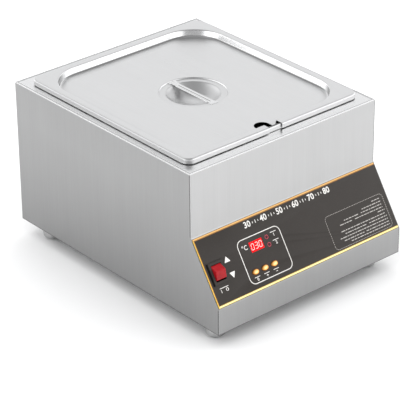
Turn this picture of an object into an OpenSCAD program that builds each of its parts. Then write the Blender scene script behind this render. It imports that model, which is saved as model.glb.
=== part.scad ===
// Electric chocolate melting pot: a sheet steel casing with a sloping control panel, a heated
// well, a 2/3-size food pan that hangs in it and a pressed lid with a sunk bar handle.
// Front faces -Y, up is +Z, the feet stand on z = 0. Millimetres.

/* [Casing] */
// Width of the casing
case_w = 354; // [352:1:360]
// Depth of the casing at the deck
deck_depth = 397; // [396:1:402]
// How far the lower front stands out past the upper front
slope_out = 58; // [56:1:60]
// Height of the front face above the slope
upper_h = 99.6; // [98:0.1:102]
// Height of the slope
slope_h = 88.6; // [87:0.1:90]
// Height of the front face below the slope
lower_h = 41.3; // [40:0.1:44]
// Height of the feet
foot_h = 26; // [24:1:30]
// Radius of a foot
foot_r = 14.5; // [14:0.5:16]
// Thickness of the casing sheet
sheet = 1; // [0.8:0.1:1.2]

/* [Well and pan] */
// Width of the opening in the deck
well_w = 312; // [311:1:313]
// Length of the opening in the deck
well_l = 346; // [346:1:347]
// Depth of the well below the deck
well_depth = 140; // [136:1:142]
// Width over the pan's flange
pan_w = 324; // [323.4:0.1:324.2]
// Length over the pan's flange
pan_l = 354; // [353.4:0.1:354.6]
// Inside depth of the pan
pan_depth = 100; // [90:1:100]
// Sheet thickness of the pan and the lid
pan_t = 0.8; // [0.6:0.1:0.8]

/* [Lid] */
// Width over the lid's skirt
lid_w = 327; // [327:0.5:328]
// Length over the lid's skirt
lid_l = 358; // [358:0.5:359]
// Height of the lid's flange above the deck
lid_rise = 9; // [9:0.1:9.6]
// Depth of the lid's recess below its flange
recess_depth = 11.2; // [10:0.1:12]
// Width of the spoon notch
notch_w = 24; // [18:1:26]
// Radius of the finger dish
dish_r = 41; // [39:1:43]
// Depth of the finger dish below the lid's floor
dish_depth = 17.5; // [16:0.5:19]

/* [Controls] */
// Distance of the rocker switch's middle from the left edge
switch_u = 22.3; // [21:0.1:24]
// Distance of the rocker switch's middle from the slope's top edge
switch_v = 57.8; // [56:0.1:60]
// Width of the rocker
rocker_w = 17.4; // [17:0.1:17.6]
// Half of the rocker's swing
rocker_tilt = 9; // [7:0.5:9]
// Distance of the middle button from the left edge
buttons_u = 100; // [99:0.5:101]
// Pitch of the three buttons
buttons_pitch = 17.7; // [17:0.1:18.5]
// Distance of the buttons from the slope's top edge
buttons_v = 78.3; // [77.5:0.1:79]
// Length of a button
button_l = 12.5; // [12:0.1:12.8]
// Width of a button
button_w = 7.5; // [7:0.1:7.8]

/* [Cable entry] */
// Distance of the cable gland from the middle of the back
gland_x = 120; // [100:1:125]
// Height of the cable gland above the floor
gland_z = 60; // [56:1:64]
// How far the gland stands out of the back
gland_out = 22; // [22:1:24]
// Radius of the cable hole in the gland's seal
cable_r = 4; // [3.8:0.1:4.2]

/* [Hidden] */
$fn = 96;

total_l = deck_depth + slope_out + gland_out;
front_y = -total_l / 2;
top_front_y = front_y + slope_out;
back_y = top_front_y + deck_depth;
pan_y = (top_front_y + back_y) / 2;
base_z = foot_h;
slope_z = base_z + lower_h;
slope_top_z = slope_z + slope_h;
deck_z = slope_top_z + upper_h;
slope_len = sqrt(slope_out * slope_out + slope_h * slope_h);
slope_a = 90 - atan(slope_out / slope_h);
half_w = case_w / 2;
mitre = sheet * tan((90 - slope_a) / 2);
gap = 0.2;

floor_top = deck_z - well_depth;
floor_under = floor_top - sheet;
tube_r = 4;
tube_z = floor_under - 0.1 - tube_r;
bar_z = tube_z - tube_r - 0.1 - 1.5;
stud_x = [-60, 60];
stud_y = [-72, 0, 72];
leg_x = 90;
leg_y = 90;
pad_top = 98;
pad_h = 20;
shield_z = pad_top - pad_h - 1;

overlay_t = 0.4;
rocker_axis = -3;
board_z = -12;
board_t = 1.6;
board_u0 = 65;
board_w = 88;
board_v0 = 26;
board_h = 62;
display_u = 100.85;
display_v = 44.6;
led_u = 122;
led_v = [39.5, 50.9];
standoff_u = [69, 149];
standoff_v = [30, 84];
button_rise = 2.6;
button_top_r = 13;

foot_x = half_w - 28.5;
foot_front_y = front_y + 39;
foot_back_y = back_y - 38;
foot_at = [[-foot_x, foot_front_y], [foot_x, foot_front_y], [-foot_x, foot_back_y], [foot_x, foot_back_y]];

lid_top = deck_z + lid_rise;
recess_w = 300;
recess_l = 330;
recess_r = 57;
lid_floor = lid_top - recess_depth;
pan_top = lid_top - pan_t - 0.3;
pan_floor = pan_top - pan_depth;
notch_end_y = pan_y - 150;
dish_edge = 1.9;
ring_r = dish_r + 10;
cap_h = dish_depth - dish_edge;
cap_r = (dish_r * dish_r + cap_h * cap_h) / (2 * cap_h);
cap_steps = 8;
cap_a = asin(dish_r / cap_r);

steel = [0.78, 0.78, 0.79];
steel_dark = [0.62, 0.62, 0.63];
zinc = [0.7, 0.7, 0.68];
black = [0.08, 0.08, 0.09];
copper = [0.8, 0.5, 0.3];

// A rounded rectangle about the origin.
module rounded_2d(w, l, r) {
    square([w - 2 * r, l], center = true);
    square([w, l - 2 * r], center = true);
    for (x = [-1, 1], y = [-1, 1]) translate([x * (w / 2 - r), y * (l / 2 - r)]) circle(r = r);
}

module rounded(w, l, r, h) {
    linear_extrude(height = h) rounded_2d(w, l, r);
}

// The outline drawn in Y and Z, drawn out along X.
module along_x(x0, x1) {
    translate([x0, 0, 0]) rotate([90, 0, 90]) linear_extrude(height = x1 - x0) children();
}

// u runs right from the slope's left edge, v down from its top edge, w out of its face.
module on_slope(u, v, w = 0) {
    translate([0, front_y, slope_z]) rotate([slope_a, 0, 0])
        translate([u - half_w, slope_len - v, w]) children();
}

module at_pan(z) {
    translate([0, pan_y, z]) children();
}

module ring(ro, ri, h) {
    difference() {
        cylinder(r = ro, h = h);
        translate([0, 0, -1]) cylinder(r = ri, h = h + 2);
    }
}

module hex_nut(af, h, ri) {
    difference() {
        cylinder(r = af / 2 / cos(30), h = h, $fn = 6);
        translate([0, 0, -1]) cylinder(r = ri, h = h + 2);
    }
}

// A pan-head screw: head above z = 0, shank below.
module screw(head_r, head_h, r, len) {
    translate([0, 0, -len]) cylinder(r = r, h = len + 0.1);
    difference() {
        intersection() {
            cylinder(r = head_r, h = head_h);
            translate([0, 0, head_h - head_r * 1.9]) sphere(r = head_r * 1.9);
        }
        translate([0, 0, head_h - 1.1]) for (a = [0, 90]) rotate([0, 0, a])
            translate([-head_r * 0.55, -0.45, 0]) cube([head_r * 1.1, 0.9, 2]);
    }
}

// An ellipse by points.
module oval(l, w) {
    polygon([for (i = [0:47]) [l / 2 * cos(i * 7.5), w / 2 * sin(i * 7.5)]]);
}

// A wire through a list of points.
module wire(pts, r) {
    for (i = [0:len(pts) - 2]) {
        d = pts[i + 1] - pts[i];
        l = norm(d);
        translate(pts[i]) rotate([0, acos(d[2] / l), atan2(d[1], d[0])]) cylinder(r = r, h = l);
    }
    if (len(pts) > 2) for (i = [1:len(pts) - 2]) translate(pts[i]) sphere(r = r * 1.12);
}

module side_outline() {
    polygon([[top_front_y, deck_z], [top_front_y, slope_top_z], [front_y, slope_z],
        [front_y, base_z], [back_y, base_z], [back_y, deck_z]]);
}

screw_y = [front_y + 60, 0, back_y - 60];
back_screws = [for (x = [-169, 169], z = [45, 140, 230]) [x, z]];

module side_panel(s) {
    color(steel) difference() {
        union() {
            if (s < 0) along_x(-half_w, -half_w + sheet) side_outline();
            else along_x(half_w - sheet, half_w) side_outline();
            translate([s < 0 ? -half_w + sheet / 2 : half_w - 13, front_y + 16, base_z + 1.2])
                cube([13 - sheet / 2, total_l - gland_out - 32, 1]);
            translate([s < 0 ? -half_w + sheet / 2 : half_w - 13, back_y - sheet - 1.2, base_z + 4])
                cube([13 - sheet / 2, 1, deck_z - base_z - 21]);
        }
        for (p = back_screws) translate([p[0], back_y + 1, p[1]]) rotate([90, 0, 0]) cylinder(r = 2.1, h = 5);
        for (y = screw_y) translate([s * (half_w - 7), y, base_z]) cylinder(r = 2.1, h = 4);
    }
}

module side_panel_left() { side_panel(-1); }
module side_panel_right() { side_panel(1); }

module front_panel() {
    color(steel) difference() {
        union() {
            along_x(-half_w + sheet + gap, half_w - sheet - gap) polygon([
                [top_front_y, deck_z], [top_front_y, slope_top_z], [front_y, slope_z], [front_y, base_z],
                [front_y + sheet, base_z], [front_y + sheet, slope_z - mitre],
                [top_front_y + sheet, slope_top_z - mitre], [top_front_y + sheet, deck_z]]);
            translate([-half_w + 18, front_y + sheet / 2, base_z + 1.2]) cube([case_w - 36, 13, 1]);
        }
        for (x = [-100, 0, 100]) translate([x, front_y + 8, base_z]) cylinder(r = 2.1, h = 4);
        on_slope(switch_u, switch_v, -3) translate([-13.1, -14.8, 0]) cube([26.2, 29.6, 6]);
        on_slope(display_u, display_v, -3) translate([-12.1, -7.6, 0]) cube([24.2, 15.2, 6]);
        for (v = led_v) on_slope(led_u, v, -3) cylinder(r = 2.5, h = 6);
        for (i = [-1, 0, 1]) on_slope(buttons_u + i * buttons_pitch, buttons_v, -3)
            linear_extrude(height = 6) oval(button_l + 0.6, button_w + 0.6);
    }
}

module vent_rows(n, m, l, w) {
    for (i = [0:n - 1], j = [0:m - 1]) translate([(j - (m - 1) / 2) * (l + 12), (i - (n - 1) / 2) * 10, -3]) {
        translate([-l / 2, -w / 2, 0]) cube([l, w, 8]);
        for (x = [-l / 2, l / 2]) translate([x, 0, 0]) cylinder(r = w / 2, h = 8);
    }
}

module back_panel() {
    color(steel) difference() {
        union() {
            translate([-half_w + sheet + gap, back_y - sheet, base_z])
                cube([case_w - 2 * sheet - 2 * gap, sheet, deck_z - base_z]);
            translate([-half_w + 18, back_y - 14, base_z + 1.2]) cube([case_w - 36, 13.5, 1]);
        }
        for (x = [-100, 0, 100]) translate([x, back_y - 8, base_z]) cylinder(r = 2.1, h = 4);
        translate([-40, back_y, 80]) rotate([90, 0, 0]) vent_rows(5, 3, 34, 4);
        translate([gland_x, back_y + 1, gland_z]) rotate([90, 0, 0]) cylinder(r = 8.05, h = 4);
        translate([-gland_x, back_y + 1, gland_z - 15]) rotate([90, 0, 0]) cylinder(r = 2.6, h = 4);
        for (p = back_screws) translate([p[0], back_y + 1, p[1]]) rotate([90, 0, 0]) cylinder(r = 2.1, h = 4);
    }
}

module bottom_plate() {
    color(steel_dark) difference() {
        translate([-half_w + sheet + gap, front_y + sheet + gap, base_z])
            cube([case_w - 2 * sheet - 2 * gap, total_l - gland_out - 2 * sheet - 2 * gap, 1]);
        for (x = [-1, 1], y = screw_y) translate([x * (half_w - 7), y, base_z - 1]) cylinder(r = 2.1, h = 4);
        for (x = [-100, 0, 100], y = [front_y + 8, back_y - 8]) translate([x, y, base_z - 1]) cylinder(r = 2.1, h = 4);
        for (p = foot_at) translate([p[0], p[1], base_z - 1]) cylinder(r = 3.2, h = 4);
        for (y = [-90, 90]) translate([0, pan_y + y, base_z]) vent_rows(5, 3, 40, 4);
        for (x = [gland_x - 16, gland_x + 16]) translate([x, back_y - 62, base_z - 1]) cylinder(r = 1.7, h = 4);
    }
}

module top_deck() {
    x = half_w - sheet - 0.6;
    y0 = top_front_y + sheet + 0.6;
    y1 = back_y - sheet - 0.6;
    z = deck_z - 0.3;
    color(steel) difference() {
        translate([-x, y0, z - 15]) cube([2 * x, y1 - y0, 15]);
        translate([-x + sheet, y0 + sheet, z - 16]) cube([2 * x - 2 * sheet, y1 - y0 - 2 * sheet, 16 - sheet]);
        at_pan(z - 20) rounded(well_w, well_l, 62, 40);
    }
}

module control_overlay() {
    color([0.31, 0.3, 0.29]) difference() {
        on_slope(1.4, slope_len - 0.6, 0) cube([case_w - 2.8, slope_len - 2.6, overlay_t]);
        on_slope(switch_u, switch_v, -3) translate([-13.1, -14.8, 0]) cube([26.2, 29.6, 6]);
        on_slope(display_u, display_v, -3) translate([-12.1, -7.6, 0]) cube([24.2, 15.2, 6]);
        for (v = led_v) on_slope(led_u, v, -3) cylinder(r = 2.5, h = 6);
        for (i = [-1, 0, 1]) on_slope(buttons_u + i * buttons_pitch, buttons_v, -3)
            linear_extrude(height = 6) oval(button_l + 0.6, button_w + 0.6);
    }
}

module display_window() {
    color([0.75, 0.05, 0.05]) on_slope(display_u, display_v, 0) {
        translate([-12, -7.5, -1.2]) cube([24, 15, 1.5]);
        translate([-14, -9.5, -2.2]) cube([28, 19, 1.1]);
    }
}

module casing_screws() {
    color(zinc) {
        for (p = back_screws) translate([p[0], back_y, p[1]]) rotate([-90, 0, 0]) screw(3.6, 2.2, 2, 8);
        for (x = [-1, 1], y = screw_y) translate([x * (half_w - 7), y, base_z]) rotate([180, 0, 0]) screw(3.6, 2.2, 2, 8);
        for (x = [-100, 0, 100], y = [front_y + 8, back_y - 8])
            translate([x, y, base_z]) rotate([180, 0, 0]) screw(3.6, 2.2, 2, 8);
        for (x = [gland_x - 16, gland_x + 16])
            translate([x, back_y - 62, base_z]) rotate([180, 0, 0]) screw(3, 2, 1.6, 7);
    }
}

module well_tank() {
    color(steel) at_pan(0) {
        difference() {
            translate([0, 0, floor_under]) rounded(well_w + 2 * sheet, well_l + 2 * sheet, 62 + sheet, deck_z - 1.3 - floor_under);
            translate([0, 0, floor_top]) rounded(well_w, well_l, 62, well_depth);
        }
        translate([0, 0, deck_z - 2.3]) difference() {
            rounded(well_w + 16, well_l + 16, 70, 1);
            translate([0, 0, -1]) rounded(well_w + sheet, well_l + sheet, 62 + sheet / 2, 3);
        }
    }
}

module well_studs() {
    color(zinc) for (x = stud_x, y = stud_y) translate([x, pan_y + y, shield_z - 8]) {
        cylinder(r = 2.5, h = floor_under - shield_z + 8);
        translate([0, 0, floor_under - shield_z + 8 - 1]) cylinder(r = 4, h = 1);
    }
}

module stud_nuts() {
    color(zinc) for (x = stud_x, y = stud_y) {
        translate([x, pan_y + y, bar_z - 4.1]) hex_nut(8, 4, 2.55);
        translate([x, pan_y + y, shield_z - 4.1]) hex_nut(8, 4, 2.55);
    }
}

module insulation_wrap() {
    color([0.9, 0.88, 0.8]) at_pan(floor_top + 3) difference() {
        rounded(well_w + 31, well_l + 31, 77, 119);
        translate([0, 0, -1]) rounded(well_w + 2.6, well_l + 2.6, 63.3, 122);
    }
}

module insulation_pad() {
    color([0.9, 0.88, 0.8]) difference() {
        at_pan(pad_top - pad_h) translate([-135, -130, 0]) cube([270, 285, pad_h]);
        for (x = stud_x, y = stud_y) translate([x, pan_y + y, shield_z]) cylinder(r = 3.5, h = 40);
    }
}

module heat_shield() {
    color(steel_dark) difference() {
        at_pan(shield_z) translate([-140, -135, 0]) cube([280, 295, 12]);
        at_pan(shield_z + 0.9) translate([-139, -134, 0]) cube([278, 293, 14]);
        for (x = stud_x, y = stud_y) translate([x, pan_y + y, shield_z - 1]) cylinder(r = 2.7, h = 4);
    }
}

// A serpentine of four legs along Y with half-turns between them and two straight tails.
module heating_element() {
    s = leg_x * 2 / 3;
    color([0.36, 0.34, 0.33]) at_pan(tube_z) {
        for (i = [0:3]) translate([-leg_x + i * s, i == 0 || i == 3 ? -145 : -leg_y, 0]) rotate([-90, 0, 0])
            cylinder(r = tube_r, h = leg_y + (i == 0 || i == 3 ? 145 : leg_y));
        for (i = [0, 2]) translate([-leg_x + s / 2 + i * s, leg_y, 0])
            rotate_extrude(angle = 180) translate([s / 2, 0]) circle(r = tube_r);
        translate([0, -leg_y, 0]) rotate([0, 0, 180])
            rotate_extrude(angle = 180) translate([s / 2, 0]) circle(r = tube_r);
        for (x = [-leg_x, leg_x]) translate([x, -145, 0]) rotate([90, 0, 0]) {
            cylinder(r = 1.6, h = 12);
            cylinder(r = 3, h = 3);
        }
    }
}

module heater_clamp_bars() {
    color(zinc) difference() {
        for (y = stud_y) translate([-105, pan_y + y - 9, bar_z]) cube([210, 18, 1.5]);
        for (x = stud_x, y = stud_y) translate([x, pan_y + y, bar_z - 1]) cylinder(r = 2.7, h = 4);
    }
}

module temperature_sensor() {
    color(steel_dark) translate([-60, pan_y + 140, floor_under - 2.8]) rotate([0, 90, 0]) {
        cylinder(r = 2.5, h = 40);
        translate([0, 0, 40]) cylinder(r = 1.6, h = 12);
    }
}

module sensor_clip() {
    color(zinc) translate([-46, pan_y + 140, floor_under]) difference() {
        union() {
            translate([-4, -4, -6.2]) cube([8, 8, 6.1]);
            translate([-4, -12, -1.1]) cube([8, 24, 1]);
        }
        translate([-5, 0, -2.8]) rotate([0, 90, 0]) cylinder(r = 2.6, h = 10);
        translate([-5, -2.6, -2.8]) cube([10, 5.2, 4]);
    }
}

module thermal_cutout() {
    color([0.15, 0.13, 0.12]) translate([50, pan_y + 140, floor_under - 0.1]) rotate([180, 0, 0]) {
        cylinder(r = 8, h = 6);
        cylinder(r = 6, h = 9);
        for (x = [-4, 4]) translate([x - 0.4, -3, 8]) cube([0.8, 6, 7.5]);
    }
}

module control_board() {
    color([0.1, 0.35, 0.18]) on_slope(board_u0, board_v0 + board_h, board_z - board_t) difference() {
        cube([board_w, board_h, board_t]);
        for (u = standoff_u, v = standoff_v)
            translate([u - board_u0, board_v0 + board_h - v, -1]) cylinder(r = 1.6, h = 4);
    }
}

module board_standoffs() {
    color(zinc) for (u = standoff_u, v = standoff_v) on_slope(u, v, board_z) difference() {
        cylinder(r = 3, h = -board_z - sheet);
        translate([0, 0, -1]) cylinder(r = 1.6, h = 8);
    }
}

module board_screws() {
    color(zinc) for (u = standoff_u, v = standoff_v) on_slope(u, v, board_z - board_t) rotate([180, 0, 0])
        screw(2.8, 2, 1.5, 7);
}

module display_module() {
    color([0.9, 0.9, 0.88]) on_slope(display_u, display_v, board_z) difference() {
        translate([-15, -10, 0]) cube([30, 20, 7]);
        for (i = [-1, 0, 1]) translate([i * 7 - 2.5, -5, 6.2]) cube([5, 10, 2]);
    }
}

module indicator_leds() {
    color([0.9, 0.3, 0.35]) for (v = led_v) on_slope(led_u, v, board_z) {
        cylinder(r = 2.4, h = -board_z + 0.1);
        cylinder(r = 2.9, h = 1);
        translate([0, 0, -board_z + 0.1]) difference() {
            translate([0, 0, -1.7]) sphere(r = 2.94);
            translate([-4, -4, -8]) cube([8, 8, 8]);
        }
    }
}

module tact_switches() {
    color([0.2, 0.2, 0.2]) for (i = [-1, 0, 1]) on_slope(buttons_u + i * buttons_pitch, buttons_v, board_z) {
        translate([-3, -3, 0]) cube([6, 6, 3.8]);
        cylinder(r = 1.7, h = 7.4);
    }
}

module heater_relay() {
    color([0.1, 0.2, 0.5]) on_slope(132, 62, board_z - board_t) translate([-9.5, -7.5, -15.5]) cube([19, 15, 15.5]);
}

module board_transformer() {
    color([0.85, 0.75, 0.3]) on_slope(86, 62, board_z - board_t) {
        translate([-12, -9, -18]) cube([24, 18, 18]);
        translate([-15, -7, -15]) cube([30, 14, 12]);
    }
}

module board_connectors() {
    color([0.92, 0.92, 0.9]) for (u = [84, 104, 126]) on_slope(u, 82, board_z - board_t)
        translate([-6, -3, -8]) difference() {
            cube([12, 6, 8]);
            translate([1, 1, -1]) cube([10, 4, 6]);
        }
}

module terminal_block() {
    color([0.88, 0.88, 0.84]) translate([gland_x, back_y - 62, base_z + 1]) difference() {
        union() {
            translate([-20, -9, 0]) cube([40, 18, 8]);
            for (x = [-8, 0, 8]) translate([x - 3.4, -7, 7]) cube([6.8, 14, 9]);
        }
        for (x = [-8, 0, 8]) {
            translate([x, 10, 10.5]) rotate([90, 0, 0]) cylinder(r = 2, h = 20);
            translate([x, 0, 12]) cylinder(r = 1.8, h = 6);
        }
        for (x = [-16, 16]) translate([x, 0, -1]) cylinder(r = 1.7, h = 12);
    }
}

module earth_stud() {
    color([0.8, 0.65, 0.3]) translate([-gland_x, back_y + 4, gland_z - 15]) rotate([90, 0, 0]) {
        cylinder(r = 2.5, h = 22);
        hex_nut(8, 3.9, 2.55);
        translate([0, 0, 5.1]) hex_nut(8, 4, 2.55);
    }
}

module wiring_harness() {
    y1 = front_y + 22;
    color([0.75, 0.3, 0.2]) {
        wire([[gland_x - 8, back_y - 72.5, base_z + 11.5], [gland_x - 8, pan_y, base_z + 11.5],
            [gland_x - 8, y1, base_z + 11.5], [-146, y1, base_z + 11.5], [-146, y1 + 18, 66], [-152, -195, 86]], 1.4);
        wire([[gland_x, back_y - 72.5, base_z + 11.5], [gland_x, y1 + 8, base_z + 11.5],
            [leg_x, y1 + 16, 60], [leg_x, pan_y - 166, tube_z], [leg_x, pan_y - 157.5, tube_z]], 1.4);
        wire([[gland_x + 8, back_y - 72.5, base_z + 11.5], [gland_x + 8, -100, base_z + 11.5],
            [gland_x + 8, -188, 46], [-60, -190, 56], [-73, -206, 74]], 1.4);
        wire([[-leg_x, pan_y - 157.5, tube_z], [-leg_x, pan_y - 168, tube_z], [-80, -183, 90], [-58, -199, 82]], 1.4);
    }
}

// The switch is drawn about its own middle, its face on the slope.
module switch_housing() {
    color(black) on_slope(switch_u, switch_v, 0) difference() {
        union() {
            translate([-13.8, -16.2, overlay_t]) cube([27.6, 32.4, 1.2]);
            translate([-13.3, -15.7, overlay_t + 1]) cube([26.6, 31.4, 0.8]);
            translate([-12.9, -14.6, -22]) cube([25.8, 29.2, 22.6]);
        }
        translate([-rocker_w / 2 - 0.4, -12.2, -14]) cube([rocker_w + 0.8, 24.4, 30]);
        translate([-11.35, 0, rocker_axis]) rotate([0, 90, 0]) cylinder(r = 2.05, h = 22.7);
    }
}

module switch_rocker() {
    color([0.75, 0.1, 0.12]) on_slope(switch_u, switch_v, rocker_axis) rotate([-rocker_tilt, 0, 0]) {
        along_x(-rocker_w / 2, rocker_w / 2) polygon([[-10.9, 6], [-0.8, 12], [0.8, 12], [10.9, 6], [10.7, 2.5],
            [3.5, -4.5], [-3.5, -4.5], [-10.7, 2.5]]);
        translate([-11.2, 0, 0]) rotate([0, 90, 0]) cylinder(r = 2, h = 22.4);
    }
}

module switch_contacts() {
    color(copper) on_slope(switch_u, switch_v, 0) for (x = [-5, 5]) translate([x - 1.5, 0, -13.9]) {
        translate([0, -10, 0]) cube([3, 20, 0.8]);
        translate([0, -10, 0.8]) cube([3, 3, 0.8]);
        translate([0, 7, 0.8]) cube([3, 3, 0.8]);
    }
}

module switch_terminals() {
    color([0.8, 0.75, 0.6]) on_slope(switch_u, switch_v, 0) for (x = [-6, 6], y = [-8, 8])
        translate([x - 0.4, y - 3.1, -32]) difference() {
            cube([0.8, 6.2, 10]);
            translate([-1, 3.1, 3]) rotate([0, 90, 0]) cylinder(r = 0.8, h = 3);
        }
}

module button(i) {
    color([0.87, 0.7, 0.4]) on_slope(buttons_u + i * buttons_pitch, buttons_v, 0) {
        intersection() {
            translate([0, 0, -1.4]) linear_extrude(height = 5) oval(button_l, button_w);
            translate([0, 0, button_rise - button_top_r]) sphere(r = button_top_r);
        }
        translate([0, 0, -2.2]) linear_extrude(height = 1) oval(button_l + 2.6, button_w + 2.6);
        translate([0, 0, -3.5]) cylinder(r = 2, h = 2);
    }
}

module button_set() { button(-1); }
module button_up() { button(0); }
module button_down() { button(1); }

module at_gland() {
    translate([gland_x, back_y, gland_z]) rotate([-90, 0, 0]) children();
}

module gland_body() {
    color(black) at_gland() difference() {
        union() {
            translate([0, 0, -11]) cylinder(r = 7.95, h = 20);
            translate([0, 0, 0.05]) cylinder(r = 11 / cos(30), h = 5, $fn = 6);
        }
        translate([0, 0, -12]) cylinder(r = 5.4, h = 16);
        translate([0, 0, 3.9]) cylinder(r = 6.1, h = 6);
    }
}

module gland_locknut() {
    color(black) at_gland() translate([0, 0, -sheet - 5.1]) hex_nut(22, 5, 8);
}

module gland_seal() {
    color([0.2, 0.2, 0.2]) at_gland() translate([0, 0, 4]) ring(6, cable_r, 12);
}

module gland_dome_nut() {
    color(black) at_gland() difference() {
        union() {
            translate([0, 0, 5.15]) cylinder(r = 11 / cos(30), h = 8, $fn = 6);
            translate([0, 0, 13.1]) cylinder(r1 = 10.6, r2 = 8, h = gland_out - 13.1);
        }
        translate([0, 0, 5]) cylinder(r = 8.05, h = 5);
        translate([0, 0, 9]) cylinder(r = 6.1, h = 7.1);
        translate([0, 0, 16]) cylinder(r = 5.2, h = 10);
    }
}

module foot_cups() {
    f = 3.5;
    color([0.6, 0.6, 0.61]) for (p = foot_at) translate([p[0], p[1], 0]) difference() {
        rotate_extrude() {
            translate([0, 1.5]) square([foot_r - f, foot_h - 1.5]);
            translate([0, 1.5 + f]) square([foot_r, foot_h - 1.5 - f]);
            translate([foot_r - f, 1.5 + f]) circle(r = f);
        }
        translate([0, 0, -1]) cylinder(r = 10.1, h = 5.6);
        translate([0, 0, -1]) cylinder(r = 6, h = 11);
        cylinder(r = 3.2, h = 40);
    }
}

module foot_pads() {
    color(black) for (p = foot_at) translate([p[0], p[1], 0]) difference() {
        union() {
            translate([0, 0, 1]) cylinder(r = 10, h = 3.5);
            cylinder(r1 = 9.2, r2 = 10, h = 1);
        }
        translate([0, 0, -1]) cylinder(r = 5.3, h = 12);
    }
}

module foot_screws() {
    color(zinc) for (p = foot_at) translate([p[0], p[1], 0]) {
        translate([0, 0, 5.9]) cylinder(r = 5 / cos(30), h = 4, $fn = 6);
        translate([0, 0, 9]) cylinder(r = 3, h = foot_h + 1);
    }
}

module foot_nuts() {
    color(zinc) for (p = foot_at) translate([p[0], p[1], foot_h + 1.05]) hex_nut(10, 5, 3.05);
}

module pan() {
    color(steel) at_pan(0) difference() {
        union() {
            difference() {
                translate([0, 0, deck_z + 0.3]) rounded(pan_w, pan_l, 13, pan_top - deck_z - 0.3);
                translate([0, 0, deck_z - 1]) rounded(pan_w - 2 * pan_t, pan_l - 2 * pan_t, 13 - pan_t, pan_top - pan_t - deck_z + 1);
            }
            hull() {
                translate([0, 0, pan_top - 0.2]) rounded(306 + 2 * pan_t, 340 + 2 * pan_t, 60.8, 0.1, $fn = 64);
                translate([0, 0, pan_floor - pan_t]) rounded(284 + 2 * pan_t, 318 + 2 * pan_t, 50.8, 0.1, $fn = 64);
            }
        }
        hull() {
            translate([0, 0, pan_top + 1]) rounded(306.2, 340.2, 60.1, 0.1, $fn = 64);
            translate([0, 0, pan_floor]) rounded(284, 318, 50, 0.1, $fn = 64);
        }
    }
}

// The finger dish, welded into the lid's floor: a step down to a flat ledge, then a cap of a sphere.
module lid_dish() {
    color(steel) at_pan(lid_floor) rotate_extrude() polygon(concat(
        [for (i = [0:cap_steps - 1]) let (a = cap_a * i / cap_steps)
            [cap_r * sin(a), cap_r - dish_depth - cap_r * cos(a)]],
        [[dish_r, -dish_edge], [ring_r - 0.9, -dish_edge], [ring_r, 0], [ring_r, -pan_t],
            [ring_r - 0.2, -dish_edge - pan_t], [dish_r + 0.3, -dish_edge - pan_t]],
        [for (i = [cap_steps - 1:-1:0]) let (a = cap_a * i / cap_steps)
            [(cap_r + pan_t) * sin(a), cap_r - dish_depth - (cap_r + pan_t) * cos(a)]]));
}

module lid() {
    color(steel) at_pan(0) difference() {
        union() {
            difference() {
                translate([0, 0, deck_z + 1]) rounded(lid_w, lid_l, 14.5, lid_rise - 1);
                translate([0, 0, deck_z]) rounded(lid_w - 2 * pan_t, lid_l - 2 * pan_t, 13.7, lid_rise - pan_t);
            }
            translate([0, 0, lid_floor - pan_t]) rounded(recess_w + 2 * pan_t, recess_l + 2 * pan_t, recess_r + pan_t, recess_depth);
        }
        translate([0, 0, lid_floor]) rounded(recess_w, recess_l, recess_r, 40);
        translate([0, 0, lid_floor - 5]) cylinder(r = ring_r, h = 10);
        translate([0, notch_end_y - pan_y, lid_floor - 5]) cylinder(r = notch_w / 2, h = 30);
        translate([-notch_w / 2, -lid_l / 2 - 5, lid_floor - 5])
            cube([notch_w, lid_l / 2 + 5 + notch_end_y - pan_y, 30]);
    }
}

// A strip with turned-down edges; its wider ends lie on the dish's ledge.
module lid_handle() {
    end_y = ring_r - 1.8;
    lip_y = dish_r - 5;
    color(steel) at_pan(lid_floor) {
        translate([-5, -end_y, -1.82]) cube([10, 2 * end_y, 1.3]);
        for (x = [-5, 3.8]) translate([x, -lip_y, -4.7]) cube([1.2, 2 * lip_y, 3.5]);
        for (a = [0, 180]) rotate([0, 0, a]) translate([-7, dish_r + 1.5, -1.82]) cube([14, end_y - dish_r - 1.5, 1.3]);
    }
}

side_panel_left();
side_panel_right();
front_panel();
back_panel();
bottom_plate();
top_deck();
control_overlay();
display_window();
casing_screws();
well_tank();
well_studs();
stud_nuts();
insulation_wrap();
insulation_pad();
heat_shield();
heating_element();
heater_clamp_bars();
temperature_sensor();
sensor_clip();
thermal_cutout();
control_board();
board_standoffs();
board_screws();
display_module();
indicator_leds();
tact_switches();
heater_relay();
board_transformer();
board_connectors();
terminal_block();
earth_stud();
wiring_harness();
switch_housing();
switch_rocker();
switch_contacts();
switch_terminals();
button_set();
button_up();
button_down();
gland_body();
gland_locknut();
gland_seal();
gland_dome_nut();
foot_cups();
foot_pads();
foot_screws();
foot_nuts();
pan();
lid();
lid_dish();
lid_handle();
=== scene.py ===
import math

import bmesh
import bpy
from mathutils import Matrix, Vector


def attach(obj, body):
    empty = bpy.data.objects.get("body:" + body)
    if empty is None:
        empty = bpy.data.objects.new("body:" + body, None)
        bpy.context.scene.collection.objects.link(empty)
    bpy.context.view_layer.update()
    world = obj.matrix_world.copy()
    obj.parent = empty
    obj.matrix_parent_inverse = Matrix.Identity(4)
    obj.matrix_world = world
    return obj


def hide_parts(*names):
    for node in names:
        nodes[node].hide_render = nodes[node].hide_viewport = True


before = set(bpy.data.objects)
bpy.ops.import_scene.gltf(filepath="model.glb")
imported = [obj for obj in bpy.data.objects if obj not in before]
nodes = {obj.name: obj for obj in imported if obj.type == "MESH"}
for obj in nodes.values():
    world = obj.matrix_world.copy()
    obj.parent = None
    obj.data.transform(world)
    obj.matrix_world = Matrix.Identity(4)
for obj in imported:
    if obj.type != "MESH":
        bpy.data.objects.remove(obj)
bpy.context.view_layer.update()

scene = bpy.context.scene
MM = 0.001

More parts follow.
